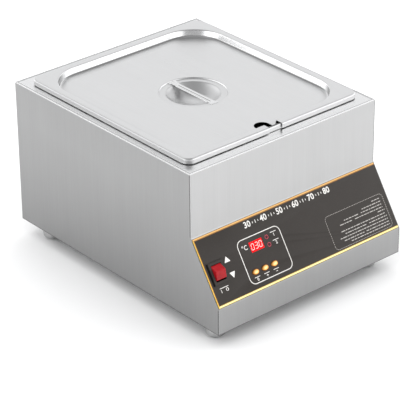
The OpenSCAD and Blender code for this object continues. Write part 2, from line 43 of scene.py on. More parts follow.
# ---------------------------------------------------------------- camera
# Solved from the casing's eleven visible corners and ten places on the panel; the image is 400 by 400.
R = Vector((0.7573111357, -0.6529883859, -0.0092742399))
U = Vector((0.3159184946, 0.3538873298, 0.8803177055))
F = Vector((0.5715552017, 0.6696043052, -0.4742939236))
cam_data = bpy.data.cameras.new("camera")
cam_data.sensor_fit = "HORIZONTAL"
cam_data.sensor_width = 36.0
cam_data.lens = 2140.11 * 36.0 / 400.0
cam_data.clip_start = 0.05
cam_data.clip_end = 200.0
cam = bpy.data.objects.new("camera", cam_data)
scene.collection.objects.link(cam)
turn = Matrix((R, U, -F)).transposed().to_4x4()
cam.matrix_world = Matrix.Translation(Vector((-1.8325683979, -2.1415917725, 1.5994089772))) @ turn
scene.camera = cam
scene.view_settings.view_transform = "Standard"
scene.view_settings.look = "None"

# ---------------------------------------------------------------- the object's planes, in millimetres
HALF_W = 177.0
FRONT_Y = -238.5
TOP_FRONT_Y = -180.5
BACK_Y = 216.5
PAN_Y = 18.0
BASE_Z = 26.0
SLOPE_Z = 67.3
SLOPE_TOP_Z = 155.9
DECK_Z = 255.5
LID_TOP = 264.5
LID_FLOOR = 253.3
SLOPE_LEN = math.hypot(58.0, 88.6)
S_UP = Vector((0.0, 58.0 / SLOPE_LEN, 88.6 / SLOPE_LEN))
S_OUT = Vector((0.0, -88.6 / SLOPE_LEN, 58.0 / SLOPE_LEN))
SLOPE_TURN = math.radians(90.0) - math.atan2(58.0, 88.6)


def slope_matrix(u=0.0, v=0.0, w=0.0):
    """Local X runs right, Y up the slope and Z out of its face; the origin is at (u, v, w)."""
    o = Vector((-HALF_W, TOP_FRONT_Y, SLOPE_TOP_Z)) + Vector((1, 0, 0)) * u - S_UP * v + S_OUT * w
    m = Matrix((Vector((1, 0, 0)), S_UP, S_OUT)).transposed().to_4x4()
    return Matrix.Translation(o) @ m


# ---------------------------------------------------------------- colours and node trees
def col(h, k=1.0):
    """A hex colour as the linear colour a shader wants, times k."""
    out = []
    for i in (0, 2, 4):
        c = int(h[i:i + 2], 16) / 255
        out.append((c / 12.92 if c <= 0.04045 else ((c + 0.055) / 1.055) ** 2.4) * k)
    return (*out, 1.0)


def grey(v):
    return (v, v, v, 1.0)


class Tree:
    """A material's node tree with short ways to add the nodes used here."""

    def __init__(self, name):
        self.mat = bpy.data.materials.new(name)
        self.mat.use_nodes = True
        self.nt = self.mat.node_tree
        self.nt.nodes.clear()
        out = self.nt.nodes.new("ShaderNodeOutputMaterial")
        self.out = out
        self.bsdf = self.nt.nodes.new("ShaderNodeBsdfPrincipled")
        self.nt.links.new(self.bsdf.outputs[0], out.inputs["Surface"])
        self.coord = self.nt.nodes.new("ShaderNodeTexCoord").outputs["Object"]

    def set(self, **values):
        for k, v in values.items():
            self.bsdf.inputs[k.replace("_", " ")].default_value = v
        return self

    def link(self, a, b):
        self.nt.links.new(a, b)

    def mapped(self, scale, rot=(0, 0, 0), loc=(0, 0, 0)):
        """Object coordinates, turned first and then scaled by axis."""
        turn = self.nt.nodes.new("ShaderNodeVectorRotate")
        turn.rotation_type = "EULER_XYZ"
        turn.inputs["Rotation"].default_value = rot
        self.link(self.coord, turn.inputs["Vector"])
        m = self.nt.nodes.new("ShaderNodeMapping")
        m.inputs["Scale"].default_value = scale
        m.inputs["Location"].default_value = loc
        self.link(turn.outputs[0], m.inputs["Vector"])
        return m.outputs[0]

    def noise(self, vec, scale=1.0, detail=3.0, rough=0.55, distort=0.0):
        n = self.nt.nodes.new("ShaderNodeTexNoise")
        n.inputs["Scale"].default_value = scale
        n.inputs["Detail"].default_value = detail
        n.inputs["Roughness"].default_value = rough
        n.inputs["Distortion"].default_value = distort
        self.link(vec, n.inputs["Vector"])
        return n.outputs["Fac"]

    def voronoi(self, vec, scale=1.0, feature="F1"):
        n = self.nt.nodes.new("ShaderNodeTexVoronoi")
        n.feature = feature
        n.inputs["Scale"].default_value = scale
        self.link(vec, n.inputs["Vector"])
        return n.outputs["Distance"]

    def wave(self, vec, scale, direction="X", distort=0.0):
        n = self.nt.nodes.new("ShaderNodeTexWave")
        n.bands_direction = direction
        n.inputs["Scale"].default_value = scale
        n.inputs["Distortion"].default_value = distort
        self.link(vec, n.inputs["Vector"])
        return n.outputs["Fac"]

    def span(self, value, a, b, c, d):
        n = self.nt.nodes.new("ShaderNodeMapRange")
        n.inputs["From Min"].default_value = a
        n.inputs["From Max"].default_value = b
        n.inputs["To Min"].default_value = c
        n.inputs["To Max"].default_value = d
        self.link(value, n.inputs["Value"])
        return n.outputs["Result"]

    def math(self, op, a, b=None, c=None):
        n = self.nt.nodes.new("ShaderNodeMath")
        n.operation = op
        for i, x in enumerate((a, b, c)):
            if x is None:
                continue
            if isinstance(x, (int, float)):
                n.inputs[i].default_value = x
            else:
                self.link(x, n.inputs[i])
        return n.outputs[0]

    def mix(self, fac, a, b, blend="MIX"):
        n = self.nt.nodes.new("ShaderNodeMix")
        n.data_type = "RGBA"
        n.blend_type = blend
        for key, x in ((0, fac), (6, a), (7, b)):
            if isinstance(x, (int, float)):
                n.inputs[key].default_value = x
            elif isinstance(x, tuple):
                n.inputs[key].default_value = x
            else:
                self.link(x, n.inputs[key])
        return n.outputs[2]

    def axis(self, name):
        n = self.nt.nodes.new("ShaderNodeSeparateXYZ")
        self.link(self.coord, n.inputs[0])
        return n.outputs[name]

    def bump(self, height, strength, distance, normal=None):
        n = self.nt.nodes.new("ShaderNodeBump")
        n.inputs["Strength"].default_value = strength
        n.inputs["Distance"].default_value = distance
        self.link(height, n.inputs["Height"])
        if normal is not None:
            self.link(normal, n.inputs["Normal"])
        return n.outputs[0]

    def edges(self, radius, lo=0.02, hi=0.25):
        """1 on corners that stand out or in, 0 on flat ground."""
        b = self.nt.nodes.new("ShaderNodeBevel")
        b.samples = 4
        b.inputs["Radius"].default_value = radius
        g = self.nt.nodes.new("ShaderNodeNewGeometry")
        d = self.nt.nodes.new("ShaderNodeVectorMath")
        d.operation = "DOT_PRODUCT"
        self.link(b.outputs[0], d.inputs[0])
        self.link(g.outputs["Normal"], d.inputs[1])
        return self.span(d.outputs["Value"], 1 - lo, 1 - hi, 0.0, 1.0)

    def use(self, colour=None, rough=None, normal=None):
        if colour is not None:
            self.link(colour, self.bsdf.inputs["Base Color"])
        if rough is not None:
            self.link(rough, self.bsdf.inputs["Roughness"])
        if normal is not None:
            self.link(normal, self.bsdf.inputs["Normal"])
        return self.mat


def brushed(name, grain, light, dark, rough, rot=(0, 0, 0), streak=0.5, cloud=0.5, scratch=0.25, edge=0.0006, edge_tone=None, low_shade=None, highlight_band=None, dish=None, seam=None, recess=None, groove_shade=None, turn_in=None, strips=()):
    """Brushed sheet steel. grain is the brushing's axis, 0 for X, 1 for Y and 2 for Z, after turning by rot."""
    t = Tree(name)
    t.set(Metallic=1.0)

    def along(a, b):
        s = [a, a, a]
        s[grain] = b
        return tuple(s)

    fine = t.noise(t.mapped(along(2600, 22), rot), detail=2.0, rough=0.6)
    mid = t.noise(t.mapped(along(420, 7), rot, (3.1, 1.7, 9.2)), detail=3.0, rough=0.6)
    broad = t.noise(t.mapped(along(55, 2.5), rot, (7.7, 2.2, 4.1)), detail=2.0, rough=0.5)
    cloudy = t.noise(t.mapped((9, 9, 9), rot, (1.2, 8.4, 2.6)), detail=3.0, rough=0.5)
    lines = t.math("ADD", t.math("MULTIPLY", mid, 0.55), t.math("ADD", t.math("MULTIPLY", broad, 0.3), t.math("MULTIPLY", fine, 0.15)))
    tone = t.math("ADD", t.math("MULTIPLY", t.span(lines, 0.36, 0.64, 0.0, 1.0), streak), t.math("MULTIPLY", t.span(cloudy, 0.3, 0.7, 0.0, 1.0), cloud))
    tone = t.span(tone, 0.0, streak + cloud, 0.0, 1.0)
    colour = t.mix(tone, dark, light)
    hair = t.noise(t.mapped(along(5200, 60), rot, (5.5, 6.1, 0.4)), detail=1.0)
    colour = t.mix(t.span(hair, 0.66, 0.8, 0.0, scratch), colour, tuple(c * 0.8 for c in dark[:3]) + (1.0,))
    if low_shade:
        # Painted shade: the colour darkens towards the bottom, to k times at z0, for the dimmer floor the lower sheet
        # reflects.
        z0, z1, k = low_shade
        colour = t.mix(1.0, colour, t.span(t.axis("Z"), z0, z1, k, 1.0), "MULTIPLY")
    rough_k = None
    if highlight_band:
        # Painted highlight: a near-white band between two heights, with lower roughness.
        z0, z1, tone_ = highlight_band[:3]
        z = t.axis("Z")
        inside = t.math("MULTIPLY", t.span(z, z0 - 0.0004, z0 + 0.0004, 0.0, 1.0), t.span(z, z1 - 0.0004, z1 + 0.0004, 1.0, 0.0))
        if len(highlight_band) > 3:
            hx, hy, cy = highlight_band[3:]
            far = t.math("ABSOLUTE", t.math("SUBTRACT", t.axis("Y"), cy))
            inside = t.math("MULTIPLY", inside, t.span(t.math("ABSOLUTE", t.axis("X")), hx, hx + 0.001, 1.0, 0.0))
            inside = t.math("MULTIPLY", inside, t.span(far, hy, hy + 0.001, 1.0, 0.0))
        colour = t.mix(inside, colour, grey(tone_))
        rough_k = inside
    if recess:
        # Pressed recess, with painted shade: a dark line at the foot of its wall, a softer painted shadow on the floor
        # beside it, two darker corners of the wall, and painted shade on the front and side skirts round the rim.
        rx, ry, cy, rc, floor_z = recess
        x, y, z = t.axis("X"), t.math("SUBTRACT", t.axis("Y"), cy), t.axis("Z")
        ax, ay = t.math("ABSOLUTE", x), t.math("ABSOLUTE", y)
        qx = t.math("MAXIMUM", t.math("SUBTRACT", ax, rx - rc), 0.0)
        qy = t.math("MAXIMUM", t.math("SUBTRACT", ay, ry - rc), 0.0)
        gap = t.math("SUBTRACT", rc, t.math("SQRT", t.math("ADD", t.math("MULTIPLY", qx, qx), t.math("MULTIPLY", qy, qy))))
        low_z = t.span(z, floor_z + 0.0004, floor_z + 0.0012, 1.0, 0.0)
        wall_shadow = t.math("MULTIPLY", low_z, t.span(gap, 0.002, 0.020, 1.0, 0.0))
        # Painted shadow on the floor beside the wall.
        colour = t.mix(t.math("MULTIPLY", wall_shadow, 0.34), colour, grey(0.40))
        fold_shade = t.math("MULTIPLY", t.span(z, floor_z + 0.0003, floor_z + 0.0007, 0.0, 1.0), t.span(z, floor_z + 0.0019, floor_z + 0.0030, 1.0, 0.0))
        fold_shade = t.math("MULTIPLY", fold_shade, t.span(gap, 0.006, 0.008, 1.0, 0.0))
        # Painted shade: dark line at the foot of the wall.
        colour = t.mix(t.math("MULTIPLY", fold_shade, 0.80), colour, grey(0.13))
        turn = t.math("MULTIPLY", t.math("MULTIPLY", qx, qy), 1.0 / (rc * rc))
        across = t.span(t.math("MULTIPLY", x, y), -0.0001, 0.0, 1.0, 0.0)
        wall = t.math("MULTIPLY", t.span(z, floor_z + 0.0012, floor_z + 0.0022, 0.0, 1.0), t.span(z, floor_z + 0.0098, floor_z + 0.0106, 1.0, 0.0))
        wall = t.math("MULTIPLY", wall, t.span(gap, -0.004, -0.002, 0.0, 1.0))
        corner_shade = t.math("MULTIPLY", t.math("MULTIPLY", t.span(turn, 0.12, 0.34, 0.0, 1.0), across), wall)
        # Painted shade on two corners of the wall.
        colour = t.mix(t.math("MULTIPLY", corner_shade, 0.72), colour, grey(0.16))
        side = t.math("MULTIPLY", t.span(ax, 0.1616, 0.1632, 0.0, 1.0), t.span(z, floor_z + 0.0104, floor_z + 0.0112, 1.0, 0.0))
        front = t.math("MULTIPLY", t.span(ay, 0.1770, 0.1786, 0.0, 1.0), t.span(z, floor_z + 0.0104, floor_z + 0.0112, 1.0, 0.0))
        # Painted shade on the skirts: a slightly darker front skirt and darker side skirts.
        colour = t.mix(front, colour, grey(0.74))
        colour = t.mix(side, colour, grey(0.54))
    if dish:
        # The spun finger dish.
        cx, cy, r0 = dish
        dx, dy = t.math("SUBTRACT", t.axis("X"), cx), t.math("SUBTRACT", t.axis("Y"), cy)
        rad = t.math("SQRT", t.math("ADD", t.math("MULTIPLY", dx, dx), t.math("MULTIPLY", dy, dy)))
        within = t.span(rad, r0 - 0.0004, r0 + 0.0004, -0.4, 0.0)
        rough_k = t.math("ADD", rough_k, within) if rough_k is not None else within
    if seam:
        # A fine pressed line along the plate's border, x to either side and y at the front and back, with a painted
        # highlight on the strip outside it.
        hx, y0, y1, w = seam
        ax = t.math("ABSOLUTE", t.axis("X"))
        y = t.axis("Y")
        d = t.math("MINIMUM", t.math("SUBTRACT", hx, ax), t.math("MINIMUM", t.math("SUBTRACT", y, y0), t.math("SUBTRACT", y1, y)))
        line = t.span(t.math("ABSOLUTE", d), w * 0.30, w * 0.65, 1.0, 0.0)
        rim = t.span(d, -0.0001, 0.0001, 1.0, 0.0)
        # Painted highlight: the strip between the line and the plate's edge is near white.
        colour = t.mix(rim, colour, grey(0.97))
        colour = t.mix(t.math("MULTIPLY", line, 0.7), colour, grey(0.14))
    if turn_in:
        # Painted shade: a near-black line where a flange turns down into the walls.
        rx, ry, cy, rc, z0 = turn_in
        qx = t.math("MAXIMUM", t.math("SUBTRACT", t.math("ABSOLUTE", t.axis("X")), rx - rc), 0.0)
        qy = t.math("MAXIMUM", t.math("SUBTRACT", t.math("ABSOLUTE", t.math("SUBTRACT", t.axis("Y"), cy)), ry - rc), 0.0)
        gap = t.math("SUBTRACT", rc, t.math("SQRT", t.math("ADD", t.math("MULTIPLY", qx, qx), t.math("MULTIPLY", qy, qy))))
        fold_shade = t.math("MULTIPLY", t.span(gap, -0.0003, 0.0003, 0.0, 1.0), t.span(t.axis("Z"), z0 - 0.030, z0, 0.0, 1.0))
        colour = t.mix(t.math("MULTIPLY", fold_shade, 0.92), colour, grey(0.035))
        # Painted shade: the drawn body's outside below the flange is darker than its rim.
        facing = t.nt.nodes.new("ShaderNodeSeparateXYZ")
        t.link(t.nt.nodes.new("ShaderNodeTexCoord").outputs["Normal"], facing.inputs[0])
        out_x = t.math("MULTIPLY", facing.outputs["X"], t.axis("X"))
        out_y = t.math("MULTIPLY", facing.outputs["Y"], t.math("SUBTRACT", t.axis("Y"), cy))
        outside_shade = t.span(t.math("ADD", out_x, out_y), 0.0, 0.02, 0.0, 1.0)
        outside_shade = t.math("MULTIPLY", outside_shade, t.span(t.axis("Z"), z0 - 0.0062, z0 - 0.0052, 1.0, 0.0))
        colour = t.mix(t.math("MULTIPLY", outside_shade, 0.8), colour, grey(0.34))
    if edge:
        # Paler edges: partly rubbed wear and partly painted highlight; the near-white edge_tone on the casing sheets is
        # painted highlight.
        edge_wear_and_highlight = edge_tone or tuple(min(1.0, c * 1.12) for c in light[:3]) + (1.0,)
        colour = t.mix(t.span(t.edges(edge), 0.0, 1.0, 0.0, 0.85), colour, edge_wear_and_highlight)
    for axis, side, at, z0, z1, tone_, amount in strips:
        # A narrow line beyond a coordinate: dark for the open joint of a folded sheet, light for a painted highlight
        # along a folded sheet's edge.
        v = t.axis(axis)
        v = t.math("ABSOLUTE", v) if side == 0 else t.math("MULTIPLY", v, float(side))
        on = t.span(v, at - 0.0002, at + 0.0002, 0.0, 1.0)
        on = t.math("MULTIPLY", on, t.math("MULTIPLY", t.span(t.axis("Z"), z0, z0 + 0.001, 0.0, 1.0), t.span(t.axis("Z"), z1 - 0.001, z1, 1.0, 0.0)))
        colour = t.mix(t.math("MULTIPLY", on, amount), colour, grey(tone_))
    if groove_shade:
        x0, w, y0, y1 = groove_shade
        # Painted shade: a dark line along the handle's strip, standing for the shade of a groove.
        line = t.span(t.math("ABSOLUTE", t.math("SUBTRACT", t.axis("X"), x0)), w * 0.35, w * 0.65, 1.0, 0.0)
        line = t.math("MULTIPLY", line, t.math("MULTIPLY", t.span(t.axis("Y"), y0, y0 + 0.001, 0.0, 1.0), t.span(t.axis("Y"), y1, y1 + 0.001, 1.0, 0.0)))
        colour = t.mix(t.math("MULTIPLY", line, 0.8), colour, grey(0.10))
    roughness = t.math("ADD", t.span(fine, 0.3, 0.7, rough - 0.05, rough + 0.05), t.span(cloudy, 0.3, 0.7, -0.02, 0.02))
    if rough_k is not None:
        roughness = t.math("MULTIPLY", roughness, t.math("SUBTRACT", 1.0, t.math("MULTIPLY", rough_k, 0.28)))
    height = t.math("ADD", t.math("MULTIPLY", fine, 0.7), t.math("MULTIPLY", mid, 0.3))
    return t.use(colour, roughness, t.bump(height, 0.10, 0.00006))


def spun(name, centres, light, dark, rough):
    """Steel turned round vertical axes through the centres (x, y in metres): faint rings round the nearest one."""
    t = Tree(name)
    t.set(Metallic=1.0)
    rad = None
    for cx, cy in centres:
        dx, dy = t.math("SUBTRACT", t.axis("X"), cx), t.math("SUBTRACT", t.axis("Y"), cy)
        d = t.math("SQRT", t.math("ADD", t.math("MULTIPLY", dx, dx), t.math("MULTIPLY", dy, dy)))
        rad = d if rad is None else t.math("MINIMUM", rad, d)
    comb = t.nt.nodes.new("ShaderNodeCombineXYZ")
    t.link(t.math("MULTIPLY", rad, 900.0), comb.inputs["X"])
    t.link(t.math("MULTIPLY", t.axis("Z"), 500.0), comb.inputs["Y"])
    rings = t.noise(comb.outputs[0], detail=3.0)
    cloudy = t.noise(t.mapped((60, 60, 60)), detail=3.0)
    colour = t.mix(t.span(t.math("ADD", rings, cloudy), 0.75, 1.25, 0.0, 1.0), dark, light)
    return t.use(colour, t.span(rings, 0.3, 0.7, rough - 0.04, rough + 0.04), t.bump(rings, 0.12, 0.00005))


def cast_metal(name, light, dark, rough, size=900.0, edge=0.0003):
    """Plated or cast metal of small parts: clouded tone, fine grain, brighter edges that are part wear and part painted
    highlight.
    """
    t = Tree(name)
    t.set(Metallic=1.0)
    cloudy = t.noise(t.mapped((size / 8,) * 3), detail=4.0)
    grain = t.noise(t.mapped((size * 2.5,) * 3), detail=2.0)
    colour = t.mix(t.span(cloudy, 0.3, 0.7, 0.0, 1.0), dark, light)
    if edge:
        colour = t.mix(t.edges(edge), colour, tuple(min(1.0, c * 1.25) for c in light[:3]) + (1.0,))
    return t.use(colour, t.span(cloudy, 0.3, 0.7, rough - 0.06, rough + 0.08), t.bump(grain, 0.12, 0.00005))


def plastic(name, light, dark, rough=0.42, grain=1800.0, bump=0.15, edge=0.0004, coat=0.0, specular=0.5, wear_and_sheen=1.5):
    """Moulded plastic: fine spark-eroded grain, slight flow tone and paler edges, part rubbed wear and part painted
    highlight.
    """
    t = Tree(name)
    t.set(Coat_Weight=coat, Specular_IOR_Level=specular)
    flow = t.noise(t.mapped((70, 70, 70)), detail=3.0, distort=0.4)
    pits = t.noise(t.mapped((grain,) * 3), detail=2.0)
    colour = t.mix(t.span(flow, 0.3, 0.7, 0.0, 1.0), dark, light)
    if edge:
        pale = tuple(min(1.0, c * wear_and_sheen + 0.01) for c in light[:3]) + (1.0,)
        colour = t.mix(t.span(t.edges(edge), 0.0, 1.0, 0.0, 0.7), colour, pale)
    return t.use(colour, t.span(t.math("ADD", flow, pits), 0.6, 1.4, rough - 0.06, rough + 0.06), t.bump(pits, bump, 0.00005))


def fibre(name, light, dark):
    """Ceramic fibre blanket: matted strands and lumps."""
    t = Tree(name)
    t.set(Sheen_Weight=0.3)
    strands = t.noise(t.mapped((900, 900, 300), (0.4, 0.2, 0.7)), detail=4.0, distort=1.2)
    lumps = t.noise(t.mapped((90, 90, 90)), detail=4.0)
    colour = t.mix(t.span(t.math("ADD", strands, lumps), 0.7, 1.3, 0.0, 1.0), dark, light)
    height = t.math("ADD", strands, t.math("MULTIPLY", lumps, 2.0))
    return t.use(colour, t.span(lumps, 0.3, 0.7, 0.85, 0.98), t.bump(height, 0.8, 0.0006))


def board(name):
    """Circuit board: green mask over faint copper tracks, with glass weave."""
    t = Tree(name)
    vec = t.mapped((1, 1, 1), (-SLOPE_TURN, 0, 0))
    weave = t.math("MULTIPLY", t.wave(vec, 900.0, "X"), t.wave(vec, 900.0, "Y"))
    tracks = t.math("GREATER_THAN", t.wave(t.mapped((1, 1, 1), (-SLOPE_TURN, 0, 0.0)), 170.0, "X", 6.0), 0.62)
    colour = t.mix(t.span(weave, 0.0, 1.0, 0.0, 0.4), col("0b5a2a"), col("136b36"))
    colour = t.mix(t.math("MULTIPLY", tracks, 0.5), colour, col("2c8a4c"))
    return t.use(colour, t.span(weave, 0.0, 1.0, 0.25, 0.4), t.bump(tracks, 0.4, 0.00008))


def printed(name, ink, ink_dark, rough=0.42, metallic=0.0, emission=0.0):
    """Screen-printed ink: slightly uneven cover, raised by the film's thickness."""
    t = Tree(name)
    t.set(Metallic=metallic)
    cover = t.noise(t.mapped((700, 700, 700)), detail=3.0)
    broad = t.noise(t.mapped((25, 25, 25)), detail=2.0)
    colour = t.mix(t.span(t.math("ADD", cover, broad), 0.7, 1.3, 0.0, 1.0), ink_dark, ink)
    if emission:
        t.set(Emission_Color=ink, Emission_Strength=emission)
    return t.use(colour, t.span(cover, 0.3, 0.7, rough - 0.05, rough + 0.05), t.bump(cover, 0.15, 0.00003))


def lit_red(name, a, b, strength, rough=0.18):
    """A red filter with light behind it, uneven between the lamps."""
    t = Tree(name)
    t.set(Coat_Weight=0.0, Specular_IOR_Level=0.08)
    pools = t.noise(t.mapped((140, 140, 140)), detail=2.0)
    dots = t.voronoi(t.mapped((1, 1, 1)), 900.0)
    colour = t.mix(t.span(pools, 0.3, 0.7, 0.0, 1.0), b, a)
    t.link(t.mix(t.span(dots, 0.0, 0.6, 0.0, 0.12), colour, b), t.bsdf.inputs["Emission Color"])
    t.set(Emission_Strength=strength)
    return t.use(colour, t.span(pools, 0.3, 0.7, rough - 0.04, rough + 0.05), t.bump(dots, 0.05, 0.00002))


def film(name):
    """Clear gloss film over the digits."""
    t = Tree(name)
    t.set(Alpha=0.05, Coat_Weight=0.0, Specular_IOR_Level=0.15)
    smear = t.noise(t.mapped((120, 60, 60)), detail=4.0)
    return t.use(t.mix(smear, col("b03030"), col("d85050")), t.span(smear, 0.3, 0.7, 0.05, 0.16), t.bump(smear, 0.04, 0.00003))


def rubber(name):
    t = Tree(name)
    fine = t.noise(t.mapped((1500, 1500, 1500)), detail=3.0)
    dust = t.noise(t.mapped((160, 160, 160)), detail=4.0)
    colour = t.mix(t.span(dust, 0.45, 0.75, 0.0, 0.5), grey(0.018), grey(0.06))
    return t.use(colour, t.span(dust, 0.3, 0.7, 0.7, 0.88), t.bump(fine, 0.3, 0.00008))


def bakelite_print(name):
    """The panel film: warm dark grey with a fine velvet grain and faint cloudiness."""
    t = Tree(name)
    t.set(Specular_IOR_Level=0.2)
    velvet = t.noise(t.mapped((2200, 2200, 2200)), detail=2.0)
    cloudy = t.noise(t.mapped((14, 14, 14)), detail=3.0)
    speck = t.noise(t.mapped((480, 480, 480)), detail=2.0)
    colour = t.mix(t.span(cloudy, 0.3, 0.7, 0.0, 1.0), col("35312e"), col("3a3633"))
    colour = t.mix(t.span(speck, 0.55, 0.8, 0.0, 0.35), colour, col("443f3c"))
    return t.use(colour, t.span(t.math("ADD", velvet, cloudy), 0.6, 1.4, 0.46, 0.53), t.bump(velvet, 0.22, 0.00005))


def floor_paper(name):
    t = Tree(name)
    t.set(Specular_IOR_Level=0.1)
    fibre_ = t.noise(t.mapped((6, 6, 6)), detail=4.0)
    return t.use(t.mix(fibre_, grey(0.9), grey(0.93)), t.span(fibre_, 0.3, 0.7, 0.85, 0.95), t.bump(fibre_, 0.02, 0.0005))


SIDE_LINES = (("Y", -1, 0.1794, 0.157, 0.2545, 0.16, 0.75), ("Y", -1, 0.2373, 0.026, 0.067, 0.12, 0.8), ("Z", -1, -0.0272, 0.0, 0.03, 0.09, 0.8))
# The front's X line is a near-white painted highlight along its side folds; the other lines are dark open joints.
FRONT_LINES = (("X", 0, 0.1756, 0.157, 0.2545, 0.98, 0.8), ("Z", -1, -0.0272, 0.0, 0.03, 0.09, 0.8))
# The side sheets take a darker base colour than the front and back of the same steel: painted shade for the sides'
# dimmer light.
SIDE_L = brushed("side_left_brushed", 2, grey(0.37), grey(0.335), 0.40, low_shade=(0.03, 0.20, 0.82), edge_tone=grey(0.98), highlight_band=(0.2549, 0.27, 0.98), strips=SIDE_LINES)
SIDE_R = brushed("side_right_brushed", 2, grey(0.37), grey(0.335), 0.40, low_shade=(0.03, 0.20, 0.82), edge_tone=grey(0.98), highlight_band=(0.2549, 0.27, 0.98), strips=SIDE_LINES)
FRONT = brushed("front_brushed", 2, grey(0.525), grey(0.475), 0.38, low_shade=(0.06, 0.16, 0.70), edge_tone=grey(0.98), highlight_band=(0.2549, 0.27, 0.98), strips=FRONT_LINES)
BACK = brushed("back_brushed", 2, grey(0.52), grey(0.47), 0.42, low_shade=(0.03, 0.24, 0.84), edge_tone=grey(0.98), highlight_band=(0.2549, 0.27, 0.98))
DECK = brushed("deck_brushed", 1, grey(0.87), grey(0.82), 0.28, seam=(0.1738, -0.1773, 0.2133, 0.0011))
BASE = brushed("base_brushed", 0, grey(0.50), grey(0.43), 0.46)
LID = brushed("lid_brushed", 1, grey(0.80), grey(0.755), 0.34, streak=0.35, cloud=0.65, highlight_band=(0.2552, 0.2632, 0.97, 0.1548, 0.1698, 0.018), dish=(0.0, 0.018, 0.0515), recess=(0.1526, 0.1676, 0.018, 0.052, 0.2533))
PAN = brushed("pan_brushed", 1, grey(0.76), grey(0.68), 0.30, streak=0.35, cloud=0.65, turn_in=(0.1588, 0.1758, 0.018, 0.0655, 0.2590))
HANDLE = brushed("handle_brushed", 1, grey(0.86), grey(0.78), 0.26, edge=0.0004, groove_shade=(-0.0009, 0.0013, -0.022, 0.050))
WELL = brushed("well_brushed", 0, grey(0.60), grey(0.50), 0.36)
SHIELD = brushed("shield_steel", 0, grey(0.52), grey(0.42), 0.45)
FOOT = spun("foot_turned", [(-0.1485, -0.1995), (0.1485, -0.1995), (-0.1485, 0.1785), (0.1485, 0.1785)], grey(0.64), grey(0.40), 0.2)
ZINC = cast_metal("zinc_plate", (0.66, 0.66, 0.63, 1.0), (0.52, 0.53, 0.50, 1.0), 0.34)
SHEATH = cast_metal("element_sheath", (0.30, 0.27, 0.25, 1.0), (0.16, 0.14, 0.13, 1.0), 0.52, edge=0)
BRASS = cast_metal("brass", (0.80, 0.58, 0.26, 1.0), (0.66, 0.45, 0.18, 1.0), 0.30)
BLACK = plastic("black_plastic", grey(0.030), grey(0.020), 0.44)

IVORY = plastic("ivory_plastic", col("e6e1d2"), col("d8d2c0"), 0.45, wear_and_sheen=1.05)
RELAY = plastic("relay_plastic", col("1d3f8f"), col("173475"), 0.30)
YELLOW = plastic("transformer_tape", col("d9b53a"), col("c39d2a"), 0.38, wear_and_sheen=1.1)
DIGIT_BODY = plastic("display_body", col("e8e6e0"), col("d6d3ca"), 0.4, wear_and_sheen=1.05)
TACT = plastic("tact_plastic", grey(0.035), grey(0.025), 0.4)
WIRE = plastic("wire_insulation", col("b33a28"), col("96301f"), 0.38, wear_and_sheen=1.1)
RUBBER = rubber("black_rubber")
FIBRE = fibre("ceramic_fibre", col("e9e2d0"), col("cfc5ad"))
BOARD = board("board_green")


BEZEL = bakelite_print("bezel_plastic")


def key_gold(name, centres):
    """Gold caps: a pale painted highlight on the crown, deep orange further out and dark painted shade towards the rim
    of each oval.
    """
    t = Tree(name)
    t.set(Metallic=0.85, Coat_Weight=0.3, Coat_Roughness=0.15)
    near = None
    for u in centres:
        d = t.math("ABSOLUTE", t.math("SUBTRACT", t.axis("X"), u))
        near = d if near is None else t.math("MINIMUM", near, d)
    up = t.math("ADD", t.math("MULTIPLY", t.axis("Y"), S_UP.y), t.math("MULTIPLY", t.axis("Z"), S_UP.z))
    row = (Vector((0, TOP_FRONT_Y, SLOPE_TOP_Z)) - S_UP * 78.3) * MM
    dv = t.math("DIVIDE", t.math("SUBTRACT", up, row.dot(S_UP)), 0.00375)
    du = t.math("DIVIDE", near, 0.00625)
    rad = t.math("SQRT", t.math("ADD", t.math("MULTIPLY", du, du), t.math("MULTIPLY", dv, dv)))
    cloudy = t.noise(t.mapped((260, 260, 260)), detail=3.0)
    grain = t.noise(t.mapped((2400, 2400, 2400)), detail=2.0)
    rad = t.math("ADD", rad, t.span(cloudy, 0.3, 0.7, -0.06, 0.06))
    colour = t.mix(t.span(rad, 0.30, 0.80, 0.0, 1.0), col("ffdd9c"), col("eda045"))
    colour = t.mix(t.span(rad, 0.80, 1.0, 0.0, 1.0), colour, col("8f520a"))
    return t.use(colour, t.span(cloudy, 0.3, 0.7, 0.28, 0.38), t.bump(grain, 0.08, 0.00004))


# ---------------------------------------------------------------- mesh helpers
def put(name, mesh, mat, body, stands_for=(), smooth=30.0, more=()):
    """Links a finished mesh, in metres in the frame, as a piece that rides on a body."""
    ob = bpy.data.objects.new(name, mesh)
    scene.collection.objects.link(ob)
    mesh.materials.clear()
    mesh.materials.append(mat)
    for m in more:
        mesh.materials.append(m)
    if smooth:
        mesh.shade_smooth()
        mesh.set_sharp_from_angle(angle=math.radians(smooth))
    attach(ob, body)
    if stands_for:
        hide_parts(*stands_for)
    return ob


def tidy(bm, dist=1e-6):
    bmesh.ops.remove_doubles(bm, verts=bm.verts, dist=dist)
    flat = [f for f in bm.faces if f.calc_area() < 1e-13]
    if flat:
        bmesh.ops.delete(bm, geom=flat, context="FACES_ONLY")
    loose = [v for v in bm.verts if not v.link_faces]
    if loose:
        bmesh.ops.delete(bm, geom=loose, context="VERTS")
    bmesh.ops.recalc_face_normals(bm, faces=bm.faces)


def to_mesh(name, bm):
    me = bpy.data.meshes.new(name)
    bm.to_mesh(me)
    bm.free()
    return me


